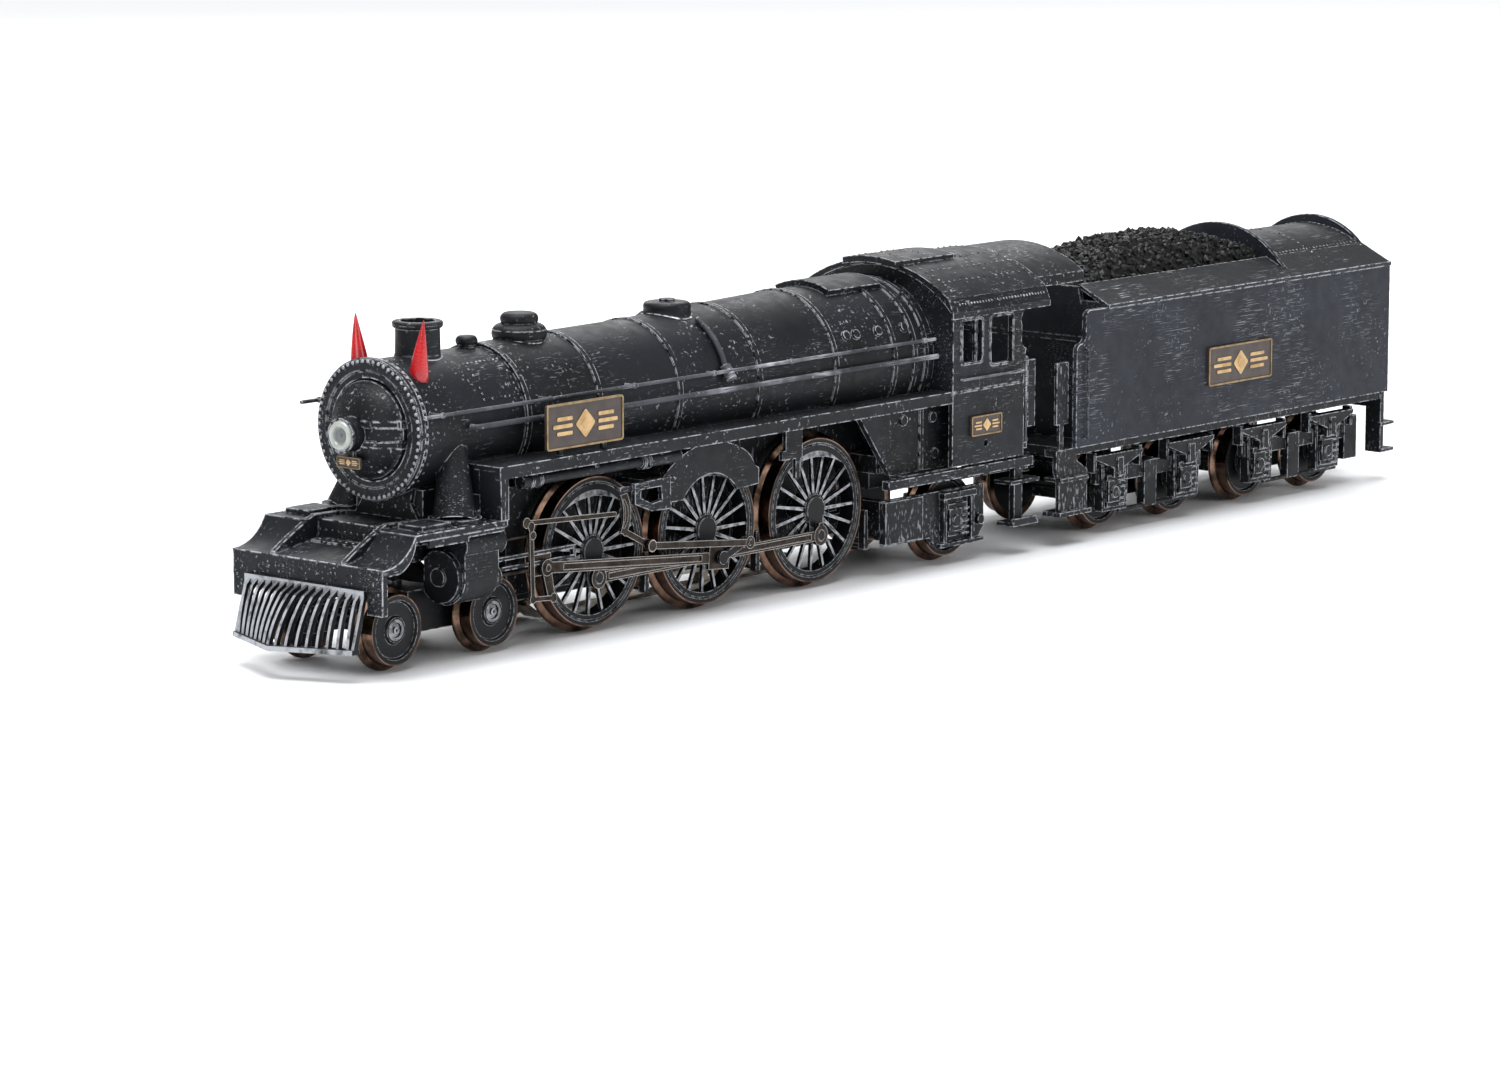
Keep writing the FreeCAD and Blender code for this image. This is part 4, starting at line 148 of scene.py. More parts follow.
def millimetres(tree: bpy.types.NodeTree, squeeze: Sequence[float] = (1, 1, 1),
                shift: Sequence[float] = (0, 0, 0)) -> bpy.types.NodeSocket:
    """Gives the object's own coordinates in millimetres, so that a pattern's scale is one per millimetre.

    Args:
        tree: The material's node tree.
        squeeze: A further scale for each axis.
        shift: Where the middle of the pattern sits, in metres.

    Returns:
        The vector socket.
    """
    place = add_node(tree, "ShaderNodeTexCoord").outputs["Object"]
    moved = add_node(tree, "ShaderNodeVectorMath", {0: place, 1: tuple(shift)}, operation="SUBTRACT")
    scale = tuple(s / MM for s in squeeze)
    scaled = {0: moved.outputs[0], 1: scale}
    return add_node(tree, "ShaderNodeVectorMath", scaled, operation="MULTIPLY").outputs[0]


def noise(tree: bpy.types.NodeTree, vector: bpy.types.NodeSocket, per_mm: float, low: float, high: float,
          detail: float = 4.0) -> bpy.types.NodeSocket:
    """Gives a noise pattern stretched between two levels.

    Args:
        tree: The material's node tree.
        vector: Coordinates in millimetres.
        per_mm: Waves per millimetre.
        low: The noise level that becomes 0.
        high: The noise level that becomes 1.
        detail: Octaves of finer noise.

    Returns:
        The socket of the pattern, from 0 to 1.
    """
    raw = add_node(tree, "ShaderNodeTexNoise", {"Vector": vector, "Scale": per_mm, "Detail": detail})
    ramp = add_node(tree, "ShaderNodeMapRange", {"Value": raw.outputs["Fac"], "From Min": low, "From Max": high},
                    interpolation_type="SMOOTHSTEP")
    return ramp.outputs["Result"]


def combine(tree: bpy.types.NodeTree, operation: str, first: Any, second: Any) -> bpy.types.NodeSocket:
    """Joins two values with a sum that stays from 0 to 1.

    Args:
        tree: The material's node tree.
        operation: The Math node's operation.
        first: A socket or number.
        second: A socket or number.

    Returns:
        The socket of the answer.
    """
    node = add_node(tree, "ShaderNodeMath", {0: first, 1: second}, operation=operation, use_clamp=True)
    return node.outputs[0]


def mix_colour(tree: bpy.types.NodeTree, share: Any, first: Any, second: Any) -> bpy.types.NodeSocket:
    """Mixes two colours.

    Args:
        tree: The material's node tree.
        share: How much of the second colour shows.
        first: A colour or colour socket.
        second: A colour or colour socket.

    Returns:
        The mixed colour's socket.
    """
    inputs = {"Factor": share, 6: first, 7: second}
    return add_node(tree, "ShaderNodeMix", inputs, data_type="RGBA").outputs[2]


def edge_wear(tree: bpy.types.NodeTree, width_mm: float, low: float = 0.02,
              high: float = 0.13) -> bpy.types.NodeSocket:
    """Finds the edges that stand out, where paint is touched most.

    Args:
        tree: The material's node tree.
        width_mm: How far the wear spreads from an edge.
        low: How sharp an edge has to be before it wears.
        high: How sharp an edge is when it is all worn.

    Returns:
        The socket of the mask, 1 on an edge.
    """
    rounded = add_node(tree, "ShaderNodeBevel", {"Radius": width_mm * MM}, samples=6)
    geometry = add_node(tree, "ShaderNodeNewGeometry")
    same = add_node(tree, "ShaderNodeVectorMath", {0: rounded.outputs[0], 1: geometry.outputs["Normal"]},
                    operation="DOT_PRODUCT")
    away = combine(tree, "SUBTRACT", 1.0, same.outputs["Value"])
    sharp = add_node(tree, "ShaderNodeMapRange", {"Value": away, "From Min": low, "From Max": high})
    open_to_air = add_node(tree, "ShaderNodeAmbientOcclusion", {"Distance": 2.2 * width_mm * MM}, samples=4)
    out = add_node(tree, "ShaderNodeMapRange", {"Value": open_to_air.outputs["AO"], "From Min": 0.3, "From Max": 0.62})
    return combine(tree, "MULTIPLY", sharp.outputs["Result"], out.outputs["Result"])


def facing(tree: bpy.types.NodeTree, way: Sequence[float], low: float, high: float,
           both: bool = False) -> bpy.types.NodeSocket:
    """Finds the faces that look a given way.

    Args:
        tree: The material's tree.
        way: The direction, of unit length.
        low: The cosine at which the mask starts.
        high: The cosine at which it is full.
        both: If faces that look the opposite way count too.

    Returns:
        The mask, from 0 to 1.
    """
    normal = add_node(tree, "ShaderNodeNewGeometry").outputs["Normal"]
    cosine = add_node(tree, "ShaderNodeVectorMath", {0: normal, 1: tuple(way)},
                      operation="DOT_PRODUCT").outputs["Value"]
    if both:
        cosine = add_node(tree, "ShaderNodeMath", {0: cosine}, operation="ABSOLUTE").outputs[0]
    return add_node(tree, "ShaderNodeMapRange", {"Value": cosine, "From Min": low,
                                                 "From Max": high}).outputs["Result"]


@dataclass(frozen=True)
class WeatheredPaint:
    """Matt blue-black enamel over die-cast zinc, dry-brushed in silver: dark, dry and grainy, with bright rubbed
    edges and fine scratches."""

    name: str = "blue_black_enamel_drybrushed"
    dark: str = "#0c0e12"
    light: str = "#171a20"
    silver: str = "#ccd0d6"
    grain: Grain = Grain.ALONG
    edge_mm: float = 0.32
    edge_share: float = 1.0
    rub_share: float = 0.42
    rub_from: float = 0.585
    speck_share: float = 0.55
    roughness: float = 0.5
    # Share of silver on faces that look forward: partly dry-brush wear, partly a painted highlight
    facing_share: float = 0.0
    # Painted shade: a darker colour for faces that look up, or None
    top: str | None = None

    def make(self) -> bpy.types.Material:
        """Builds the material.

        Returns:
            The material.
        """
        material, tree = new_material(self.name)
        place = millimetres(tree)
        cloud = noise(tree, place, 0.07, 0.35, 0.68)
        paint = mix_colour(tree, cloud, linear(self.dark), linear(self.light))
        # Painted shade: upward faces take the darker top colour, standing in for how light falls on them
        if self.top:
            paint = mix_colour(tree, facing(tree, (0.0, 0.0, 1.0), 0.2, 0.5), paint, linear(self.top))
        broken = noise(tree, place, 1.1, 0.40, 0.56, 8.0)
        edge = combine(tree, "MULTIPLY", edge_wear(tree, self.edge_mm), broken)
        edge = combine(tree, "MULTIPLY", edge, self.edge_share)
        marks = noise(tree, millimetres(tree, self.grain.value), 1.0, self.rub_from, self.rub_from + 0.10, 10.0)
        patches = noise(tree, place, 0.10, 0.46, 0.72, 3.0)
        rubbed = combine(tree, "MULTIPLY", combine(tree, "MULTIPLY", marks, patches), self.rub_share)
        grit = combine(tree, "MULTIPLY", noise(tree, place, 1.9, 0.60, 0.70, 6.0),
                       noise(tree, place, 0.16, 0.42, 0.7, 2.0))
        specks = combine(tree, "MULTIPLY", grit, self.speck_share)
        bare = combine(tree, "MAXIMUM", edge, combine(tree, "MAXIMUM", rubbed, specks))
        # Forward-facing faces go silver: partly dry-brush wear, partly a painted highlight, which then also rides in
        # the bare-metal mask
        if self.facing_share:
            struck = combine(tree, "MULTIPLY", facing(tree, (1.0, 0.0, 0.0), 0.35, 0.85),
                             noise(tree, place, 0.6, 0.25, 0.55, 4.0))
            bare = combine(tree, "MAXIMUM", bare, combine(tree, "MULTIPLY", struck, self.facing_share))
        colour = mix_colour(tree, bare, paint, linear(self.silver))
        sheen = noise(tree, place, 0.5, 0.2, 0.8)
        rough = add_node(tree, "ShaderNodeMapRange", {"Value": sheen, "To Min": self.roughness - 0.08,
                                                      "To Max": self.roughness + 0.1}).outputs["Result"]
        cast = add_node(tree, "ShaderNodeTexNoise", {"Vector": place, "Scale": 3.2, "Detail": 5.0})
        bump = add_node(tree, "ShaderNodeBump", {"Strength": 0.22, "Distance": 0.06 * MM,
                                                 "Height": cast.outputs["Fac"]})
        shader = add_node(tree, "ShaderNodeBsdfPrincipled", {
            "Base Color": colour, "Roughness": rough, "IOR": 1.5, "Specular IOR Level": 0.24,
            "Normal": bump.outputs[0], "Metallic": combine(tree, "MULTIPLY", bare, 0.35)})
        add_node(tree, "ShaderNodeOutputMaterial", {"Surface": shader.outputs[0]})
        return material


@dataclass(frozen=True)
class WheelFinish:
    """Blackened spoked casting in a turned nickel-silver tyre: near-black with bright spoke edges, and a
    copper-brown tread with dark stains."""

    name: str
    centre: Vector
    tread_radius: float
    black: str = "#0b0c0e"
    grey: str = "#15161a"
    copper: str = "#84695a"
    stain: str = "#30271f"
    spoke_band: tuple[float, float] = (0.0, 0.0)
    spoke_share: float = 0.6
    face_mm: float = 10.3
    silver: str = "#d6d9de"

    def make(self) -> bpy.types.Material:
        """Builds the material.

        Returns:
            The material.
        """
        material, tree = new_material(self.name)
        place = millimetres(tree, shift=self.centre)
        flat = add_node(tree, "ShaderNodeVectorMath", {0: place, 1: (1.0, 0.0, 1.0)}, operation="MULTIPLY")
        length = add_node(tree, "ShaderNodeVectorMath", {0: flat.outputs[0]}, operation="LENGTH")
        reach = length.outputs["Value"]
        tyre = add_node(tree, "ShaderNodeMapRange", {"Value": reach, "From Min": self.tread_radius - 0.22,
                                                     "From Max": self.tread_radius - 0.14}).outputs["Result"]
        cloud = noise(tree, place, 0.35, 0.3, 0.7)
        black = mix_colour(tree, cloud, linear(self.black), linear(self.grey))
        worn = combine(tree, "MULTIPLY", edge_wear(tree, 0.16), noise(tree, place, 1.5, 0.35, 0.6, 5.0))
        if self.spoke_band[1]:
            worn = combine(tree, "MAXIMUM", worn, self.spoke_fronts(tree, reach, place))
        painted = mix_colour(tree, worn, black, linear(self.silver))
        stained = mix_colour(tree, noise(tree, place, 0.35, 0.35, 0.7), linear(self.copper), linear(self.stain))
        colour = mix_colour(tree, tyre, painted, stained)
        metal = combine(tree, "MAXIMUM", tyre, combine(tree, "MULTIPLY", worn, 0.7))
        rough = add_node(tree, "ShaderNodeMapRange", {
            "Value": metal, "To Min": 0.42, "To Max": 0.22}).outputs["Result"]
        turned = add_node(tree, "ShaderNodeTexNoise", {
            "Vector": millimetres(tree, (0.2, 6, 0.2)), "Scale": 1.0})
        bump = add_node(tree, "ShaderNodeBump", {"Strength": 0.12, "Distance": 0.03 * MM,
                                                 "Height": turned.outputs["Fac"]})
        shader = add_node(tree, "ShaderNodeBsdfPrincipled", {
            "Base Color": colour, "Roughness": rough, "Metallic": metal, "Specular IOR Level": 0.2,
            "Normal": bump.outputs[0]})
        add_node(tree, "ShaderNodeOutputMaterial", {"Surface": shader.outputs[0]})
        return material

    def spoke_fronts(self, tree: bpy.types.NodeTree, reach: bpy.types.NodeSocket,
                     place: bpy.types.NodeSocket) -> bpy.types.NodeSocket:
        """Finds the outer faces of the spokes, which are rubbed bright.

        Args:
            tree: The material's tree.
            reach: The distance from the axle in mm.
            place: The place in mm.

        Returns:
            How much silver such a face carries.
        """
        inner, outer = self.spoke_band
        off = add_node(tree, "ShaderNodeSeparateXYZ", {"Vector": place}).outputs["Y"]
        off = add_node(tree, "ShaderNodeMath", {0: off}, operation="ABSOLUTE").outputs[0]
        share = combine(tree, "MULTIPLY", noise(tree, place, 0.8, 0.25, 0.7, 4.0),
                        facing(tree, (0.0, 1.0, 0.0), 0.6, 0.9, True))
        for value, operation, limit in ((reach, "GREATER_THAN", inner), (reach, "LESS_THAN", outer),
                                        (off, "LESS_THAN", self.face_mm)):
            kept = add_node(tree, "ShaderNodeMath", {0: value, 1: limit}, operation=operation).outputs[0]
            share = combine(tree, "MULTIPLY", share, kept)
        return combine(tree, "MULTIPLY", share, self.spoke_share)


@dataclass(frozen=True)
class Metal:
    """A bare or stained metal, drawn or machined: coloured highlights, fine marks along its length and darker oily
    patches."""

    name: str
    bright: str
    stain: str
    roughness: float = 0.34
    squeeze: tuple[float, float, float] = (0.15, 4.0, 4.0)
    stain_share: float = 0.8
    edge: str | None = None

    def make(self) -> bpy.types.Material:
        """Builds the material.

        Returns:
            The material.
        """
        material, tree = new_material(self.name)
        place = millimetres(tree)
        drawn = add_node(tree, "ShaderNodeTexNoise", {"Vector": millimetres(tree, self.squeeze), "Scale": 1.0,
                                                      "Detail": 3.0})
        patches = combine(tree, "MULTIPLY", noise(tree, place, 0.6, 0.35, 0.68), self.stain_share)
        colour = mix_colour(tree, patches, linear(self.bright), linear(self.stain))
        if self.edge:
            colour = mix_colour(tree, edge_wear(tree, 0.17), colour, linear(self.edge))
        rough = add_node(tree, "ShaderNodeMapRange", {"Value": drawn.outputs["Fac"], "From Min": 0.3, "From Max": 0.7,
                                                      "To Min": self.roughness - 0.06,
                                                      "To Max": self.roughness + 0.12}).outputs["Result"]
        bump = add_node(tree, "ShaderNodeBump", {"Strength": 0.15, "Distance": 0.02 * MM,
                                                 "Height": drawn.outputs["Fac"]})
        shader = add_node(tree, "ShaderNodeBsdfPrincipled", {
            "Base Color": colour, "Roughness": rough, "Metallic": 1.0, "Normal": bump.outputs[0]})
        add_node(tree, "ShaderNodeOutputMaterial", {"Surface": shader.outputs[0]})
        return material


@dataclass(frozen=True)
class Moulding:
    """A moulded plastic or lacquer: a clear highlight over a colour that varies a little, on a surface that is
    nearly smooth."""

    name: str
    colour: str
    shade: str
    roughness: float = 0.3
    wave_mm: float = 2.0
    coat: float = 0.0
    grain_mm: float = 0.25
    grain_depth_mm: float = 0.01

    def make(self) -> bpy.types.Material:
        """Builds the material.

        Returns:
            The material.
        """
        material, tree = new_material(self.name)
        place = millimetres(tree)
        colour = mix_colour(tree, noise(tree, place, 1 / self.wave_mm, 0.3, 0.7), linear(self.colour),
                            linear(self.shade))
        grain = add_node(tree, "ShaderNodeTexNoise", {"Vector": place, "Scale": 1 / self.grain_mm, "Detail": 3.0})
        rough = add_node(tree, "ShaderNodeMapRange", {"Value": grain.outputs["Fac"], "From Min": 0.3, "From Max": 0.7,
                                                      "To Min": self.roughness - 0.04,
                                                      "To Max": self.roughness + 0.06}).outputs["Result"]
        bump = add_node(tree, "ShaderNodeBump", {"Strength": 0.3, "Distance": self.grain_depth_mm * MM,
                                                 "Height": grain.outputs["Fac"]})
        shader = add_node(tree, "ShaderNodeBsdfPrincipled", {
            "Base Color": colour, "Roughness": rough, "IOR": 1.5, "Coat Weight": self.coat,
            "Coat Roughness": 0.08, "Normal": bump.outputs[0]})
        add_node(tree, "ShaderNodeOutputMaterial", {"Surface": shader.outputs[0]})
        return material


@dataclass(frozen=True)
class LampGlass:
    """A moulded clear acrylic lens, thick at its rim, with a bright polished face and a grey lamp behind its
    middle."""

    name: str = "clear_acrylic_lens"
    rim: str = "#b3b7b2"
    middle: str = "#53595b"
    core_mm: float = 1.1

    def make(self) -> bpy.types.Material:
        """Builds the material.

        Returns:
            The material.
        """
        low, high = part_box("headlamp_lens")
        centre = (low + high) / 2
        material, tree = new_material(self.name)
        place = millimetres(tree, (0, 1, 1), centre)
        reach = add_node(tree, "ShaderNodeVectorMath", {0: place}, operation="LENGTH").outputs["Value"]
        ring = add_node(tree, "ShaderNodeMapRange", {"Value": reach, "From Min": self.core_mm - 0.15,
                                                     "From Max": self.core_mm + 0.15}).outputs["Result"]
        clouded = noise(tree, millimetres(tree), 0.8, 0.2, 0.8)
        rim = mix_colour(tree, clouded, linear(self.rim), linear("#9ea49e"))
        colour = mix_colour(tree, ring, linear(self.middle), rim)
        shader = add_node(tree, "ShaderNodeBsdfPrincipled", {
            "Base Color": colour, "Roughness": 0.12, "IOR": 1.49, "Coat Weight": 0.8, "Coat Roughness": 0.03,
            "Subsurface Weight": 0.08, "Subsurface Scale": 0.3 * MM})
        add_node(tree, "ShaderNodeOutputMaterial", {"Surface": shader.outputs[0]})
        return material


@dataclass(frozen=True)
class Coal:
    """Crushed coal or dyed cork, glued down: near-black, with small broken faces that catch the light."""

    name: str = "crushed_coal"

    def make(self) -> bpy.types.Material:
        """Builds the material.

        Returns:
            The material.
        """
        material, tree = new_material(self.name)
        place = millimetres(tree)
        colour = mix_colour(tree, noise(tree, place, 0.8, 0.35, 0.7), linear("#030303"), linear("#0c0c0d"))
        grit = add_node(tree, "ShaderNodeTexNoise", {"Vector": place, "Scale": 5.0, "Detail": 4.0})
        rough = add_node(tree, "ShaderNodeMapRange", {"Value": grit.outputs["Fac"], "From Min": 0.35, "From Max": 0.65,
                                                      "To Min": 0.3, "To Max": 0.65}).outputs["Result"]
        bump = add_node(tree, "ShaderNodeBump", {"Strength": 0.5, "Distance": 0.05 * MM, "Height": grit.outputs["Fac"]})
        shader = add_node(tree, "ShaderNodeBsdfPrincipled", {
            "Base Color": colour, "Roughness": rough, "IOR": 1.6, "Specular IOR Level": 0.2,
            "Normal": bump.outputs[0]})
        add_node(tree, "ShaderNodeOutputMaterial", {"Surface": shader.outputs[0]})
        return material


def dress(piece: bpy.types.Object, material: bpy.types.Material) -> None:
    """Gives a piece one material all over.

    Args:
        piece: The mesh object.
        material: Its finish.
    """
    if piece.material_slots:
        for place in piece.material_slots:
            place.material = material
    else:
        piece.data.materials.append(material)


def deselect_all() -> None:
    """Leaves nothing selected."""
    for thing in bpy.context.scene.objects:
        thing.select_set(False)


def settle(piece: bpy.types.Object) -> None:
    """Puts a piece's place into its mesh and leaves the object at the origin.

    Args:
        piece: The mesh object.
    """
    bpy.context.view_layer.update()
    piece.data.transform(piece.matrix_world)
    piece.matrix_world = Matrix.Identity(4)


def finish_piece(piece: bpy.types.Object, name: str, body: str,
                 material: bpy.types.Material) -> None:
    """Names a piece, dresses it and puts it on its body.

    Args:
        piece: The mesh object, in place.
        name: Its name.
        body: The body it rides on.
        material: Its finish.
    """
    piece.name = name
    piece.data.name = name
    piece.data.materials.clear()
    piece.data.materials.append(material)
    settle(piece)
    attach(piece, body)
    LOG.info("%s: %d faces on %s", name, len(piece.data.polygons), body)


def join(pieces: Sequence[bpy.types.Object]) -> bpy.types.Object:
    """Makes one object of several.

    Args:
        pieces: The mesh objects.

    Returns:
        The first of them, which now holds them all.
    """
    deselect_all()
    for piece in pieces:
        piece.select_set(True)
    bpy.context.view_layer.objects.active = pieces[0]
    bpy.ops.object.join()
    return pieces[0]


def copies(pattern: bpy.types.Object, places: Iterable[Matrix]) -> bpy.types.Object:
    """Copies a small shape to many places, each with its own mesh, and joins them.

    Args:
        pattern: The shape, at the origin. It is removed.
        places: Where each copy goes.

    Returns:
        One object that holds all the copies.
    """
    made = []
    for place in places:
        piece = pattern.copy()
        piece.data = pattern.data.copy()
        piece.matrix_world = place
        bpy.context.scene.collection.objects.link(piece)
        made.append(piece)
    bpy.data.objects.remove(pattern)
    return join(made)


class Skin:
    """The outside of one CAD node, for placing small pieces on it."""

    def __init__(self, node: str) -> None:
        """Reads the node's mesh.

        Args:
            node: The CAD node's name.
        """
        mesh = frame["nodes"][node].data
        self.tree = BVHTree.FromPolygons([v.co for v in mesh.vertices], [p.vertices for p in mesh.polygons])

    def hit(self, start: Vector, way: Vector) -> tuple[Vector, Vector] | None:
        """Finds where a line first meets the node.

        Args:
            start: Where the line starts, outside the node.
            way: Which way it goes.

        Returns:
            The point and the surface's direction there, or None where it misses.
        """
        point, normal, _, _ = self.tree.ray_cast(start, way)
        if point is None:
            return None
        return point, (normal if normal.dot(way) < 0 else -normal)


def standing(point: Vector, normal: Vector, turn: float = 0.0, scale: float = 1.0) -> Matrix:
    """Places a shape that stands along z on a surface.

    Args:
        point: Where its foot is.
        normal: Which way it points.
        turn: How far it is turned about that, in radians.
        scale: Its size.

    Returns:
        The matrix.
    """
    turned = normal.to_track_quat("Z", "Y") @ Quaternion((0, 0, 1), turn)
    return Matrix.LocRotScale(point, turned, Vector((scale, scale, scale)))


def directions(count: int) -> list[Vector]:
    """Lists directions across the boiler, evenly round it from straight up.

    Args:
        count: How many.

    Returns:
        Unit vectors.
    """
    turns = [2 * math.pi * step / count for step in range(count)]
    return [Vector((0, math.sin(turn), math.cos(turn))) for turn in turns]


@dataclass
class RivetGang:
    """Rows of small round-headed rivets on one sub-assembly."""

    name: str
    body: str
    radius_mm: float = 0.22
    places: list[tuple[Vector, Vector]] = field(default_factory=list)

    def add(self, skin: Skin, start: Vector, way: Vector) -> None:
        """Sets one rivet where a line meets the skin.

        Args:
            skin: The surface.
            start: Where the line starts.
            way: Which way it goes.
        """
        found = skin.hit(start, way)
        if found:
            self.places.append(found)

    def row(self, skin: Skin, start: Vector, end: Vector, spacing_mm: float, way: Vector) -> None:
        """Sets a straight row.

        Args:
            skin: The surface.
            start: The row's first place, off the surface.
            end: Its last place.
            spacing_mm: From one rivet to the next.
            way: Which way the surface is from the row.
        """
        count = max(1, round((end - start).length / (spacing_mm * MM)))
        for step in range(count + 1):
            self.add(skin, start.lerp(end, step / count), way)

    def build(self, material: bpy.types.Material) -> None:
        """Models one rivet, copies it to every place and dresses the gang.

        Args:
            material: Its finish.
        """
        deselect_all()
        radius = self.radius_mm * MM
        bpy.ops.mesh.primitive_uv_sphere_add(segments=8, ring_count=6, radius=radius)
        head = bpy.context.object
        bpy.ops.object.mode_set(mode="EDIT")
        bpy.ops.mesh.select_all(action="SELECT")
        bpy.ops.mesh.bisect(plane_co=(0, 0, -0.12 * radius), plane_no=(0, 0, 1), clear_inner=True, use_fill=True)
        bpy.ops.mesh.select_all(action="SELECT")
        bpy.ops.transform.resize(value=(1.0, 1.0, 0.75))
        bpy.ops.mesh.normals_make_consistent(inside=False)
        bpy.ops.object.mode_set(mode="OBJECT")
        bpy.ops.object.shade_smooth_by_angle(angle=math.radians(50))
        gang = copies(head, [standing(point, normal) for point, normal in self.places])
        finish_piece(gang, self.name, self.body, material)


@dataclass
class Studio:
    """The camera, the floor and the lights."""

    lens_mm: float = 138.72
    camera_at: tuple[float, float, float] = (0.68006, 0.55286, 0.14819)
    looks_along: tuple[float, float, float] = (-0.75364, -0.63697, -0.16215)
    roll_deg: float = 0.145

    def build(self) -> None:
        """Makes the camera, floor, lights and surroundings."""
        self.make_camera()
        self.make_floor()
        self.make_lights()

    def make_camera(self) -> None:
        """Stands the camera off the front left corner."""
        data = bpy.data.cameras.new("camera")
        data.lens = self.lens_mm
        data.sensor_width = 36.0
        data.clip_start = 0.01
        camera = bpy.data.objects.new("camera", data)
        bpy.context.scene.collection.objects.link(camera)
        camera.location = self.camera_at
        aim = Vector(self.looks_along).to_track_quat("-Z", "Y")
        camera.rotation_euler = (aim @ Quaternion((0, 0, 1), math.radians(self.roll_deg))).to_euler()
        bpy.context.scene.camera = camera

    def make_floor(self) -> None:
        """Lays a plain pale floor."""
        deselect_all()
        bpy.ops.mesh.primitive_plane_add(size=8.0, location=(0, 0, 0))
        floor = bpy.context.object
        floor.name = "floor"
        material, tree = new_material("pale_lacquered_board")
        drift = noise(tree, millimetres(tree), 0.004, 0.2, 0.8)
        colour = mix_colour(tree, drift, linear("#f1f2f5"), linear("#f6f7f9"))
        shader = add_node(tree, "ShaderNodeBsdfPrincipled", {"Base Color": colour, "Roughness": 0.5,
                                                              "Specular IOR Level": 0.15})
        add_node(tree, "ShaderNodeOutputMaterial", {"Surface": shader.outputs[0]})
        dress(floor, material)

    def make_lights(self) -> None:
        """Hangs soft boxes above and beside the train, in a pale room."""
        centre = Vector((0, 0, 0.03))
        boxes = (
            ("top_box", (0.0, -0.15, 0.8), 1.2, 0.45, 6.0),
            ("front_box", (0.95, 0.25, 0.4), 0.6, 0.4, 2.0),
            ("side_box", (-0.3, 0.95, 0.35), 0.9, 0.4, 2.6),
            ("back_box", (-0.6, -0.7, 0.5), 0.8, 0.4, 3.0),
        )
        for name, place, width, height, power in boxes:
            data = bpy.data.lights.new(name, "AREA")
            data.shape = "RECTANGLE"
            data.size, data.size_y = width, height
            data.energy = power
            lamp = bpy.data.objects.new(name, data)
            bpy.context.scene.collection.objects.link(lamp)
            lamp.location = place
            lamp.rotation_euler = (centre - Vector(place)).to_track_quat("-Z", "Y").to_euler()
        data = bpy.data.lights.new("overhead_glow", "SUN")
        data.energy = 2.3
        data.angle = math.radians(38)
        glow = bpy.data.objects.new("overhead_glow", data)
        bpy.context.scene.collection.objects.link(glow)
        glow.location = (0, 0, 1)
        glow.rotation_euler = (math.radians(-8), math.radians(6), 0)
        world = bpy.data.worlds.new("pale_room")
        bpy.context.scene.world = world
        world.use_nodes = True
        sky = world.node_tree.nodes["Background"]
        sky.inputs["Color"].default_value = linear("#ffffff")
        sky.inputs["Strength"].default_value = 0.32
        bpy.context.scene.view_settings.view_transform = "Standard"


@dataclass
class Castings:
    """The painted die-cast nodes of the engine and tender."""

    body_nodes: tuple[str, ...] = (
        "boiler_shell", "smokebox_front", "smokebox_door", "headlamp_housing", "chimney", "boiler_domes",
        "boiler_rails_and_pipes", "front_footplate", "running_boards", "firebox_sides", "cab", "cylinder_block",
        "motion_brackets", "chassis_frame", "keeper_plate", "drawbar", "tender_floor", "rear_coupler")

    def dress(self) -> None:
        """Paints the castings."""
        paint = WeatheredPaint().make()
        for node in self.body_nodes:
            dress(frame["nodes"][node], paint)
        roof = WeatheredPaint(name="blue_black_enamel_roof", rub_share=0.35).make()
        dress(frame["nodes"]["cab_roof"], roof)
        # The tender's top colour is painted shade on its upward faces; the long scratches are real wear
        side = WeatheredPaint(name="blue_black_enamel_scratched", dark="#1b1e26", light="#242831", top="#15171b",
                              grain=Grain.LONG, rub_share=0.5, rub_from=0.575, speck_share=0.35).make()
        pipes = WeatheredPaint(name="black_enamel_rubbed_pipes", dark="#2a2c31", light="#4a4c52", grain=Grain.LONG,
                               rub_share=0.85, rub_from=0.40).make()
        dress(frame["nodes"]["boiler_rails_and_pipes"], pipes)
        dress(frame["nodes"]["tender_body"], side)
        front = WeatheredPaint(name="blue_black_enamel_front", edge_mm=0.45, rub_share=0.45, rub_from=0.57,
                               speck_share=0.6).make()
        for node in ("smokebox_front", "smokebox_door", "front_footplate", "headlamp_housing"):
            dress(frame["nodes"][node], front)
        # The bars' forward faces carry silver that is partly dry-brush wear and partly a painted highlight
        bars = WeatheredPaint(name="black_enamel_silvered_bars", dark="#0a0b0d", light="#111216", grain=Grain.UPRIGHT,
                              edge_mm=0.12, edge_share=0.35, rub_share=0.1, speck_share=0.1,
                              facing_share=0.7).make()
        dress(frame["nodes"]["cowcatcher"], bars)
        heavy = WeatheredPaint(name="black_enamel_heavy_drybrush", dark="#0e0f12", light="#17191e",
                               grain=Grain.UPRIGHT, edge_mm=0.3, rub_share=0.45, rub_from=0.56,
                               speck_share=0.5).make()
        for node in ("pilot_bogie_frame", "trailing_truck_frame", "tender_bogie_front", "tender_bogie_rear",
                     "chassis_frame", "keeper_plate", "tender_floor"):
            dress(frame["nodes"][node], heavy)


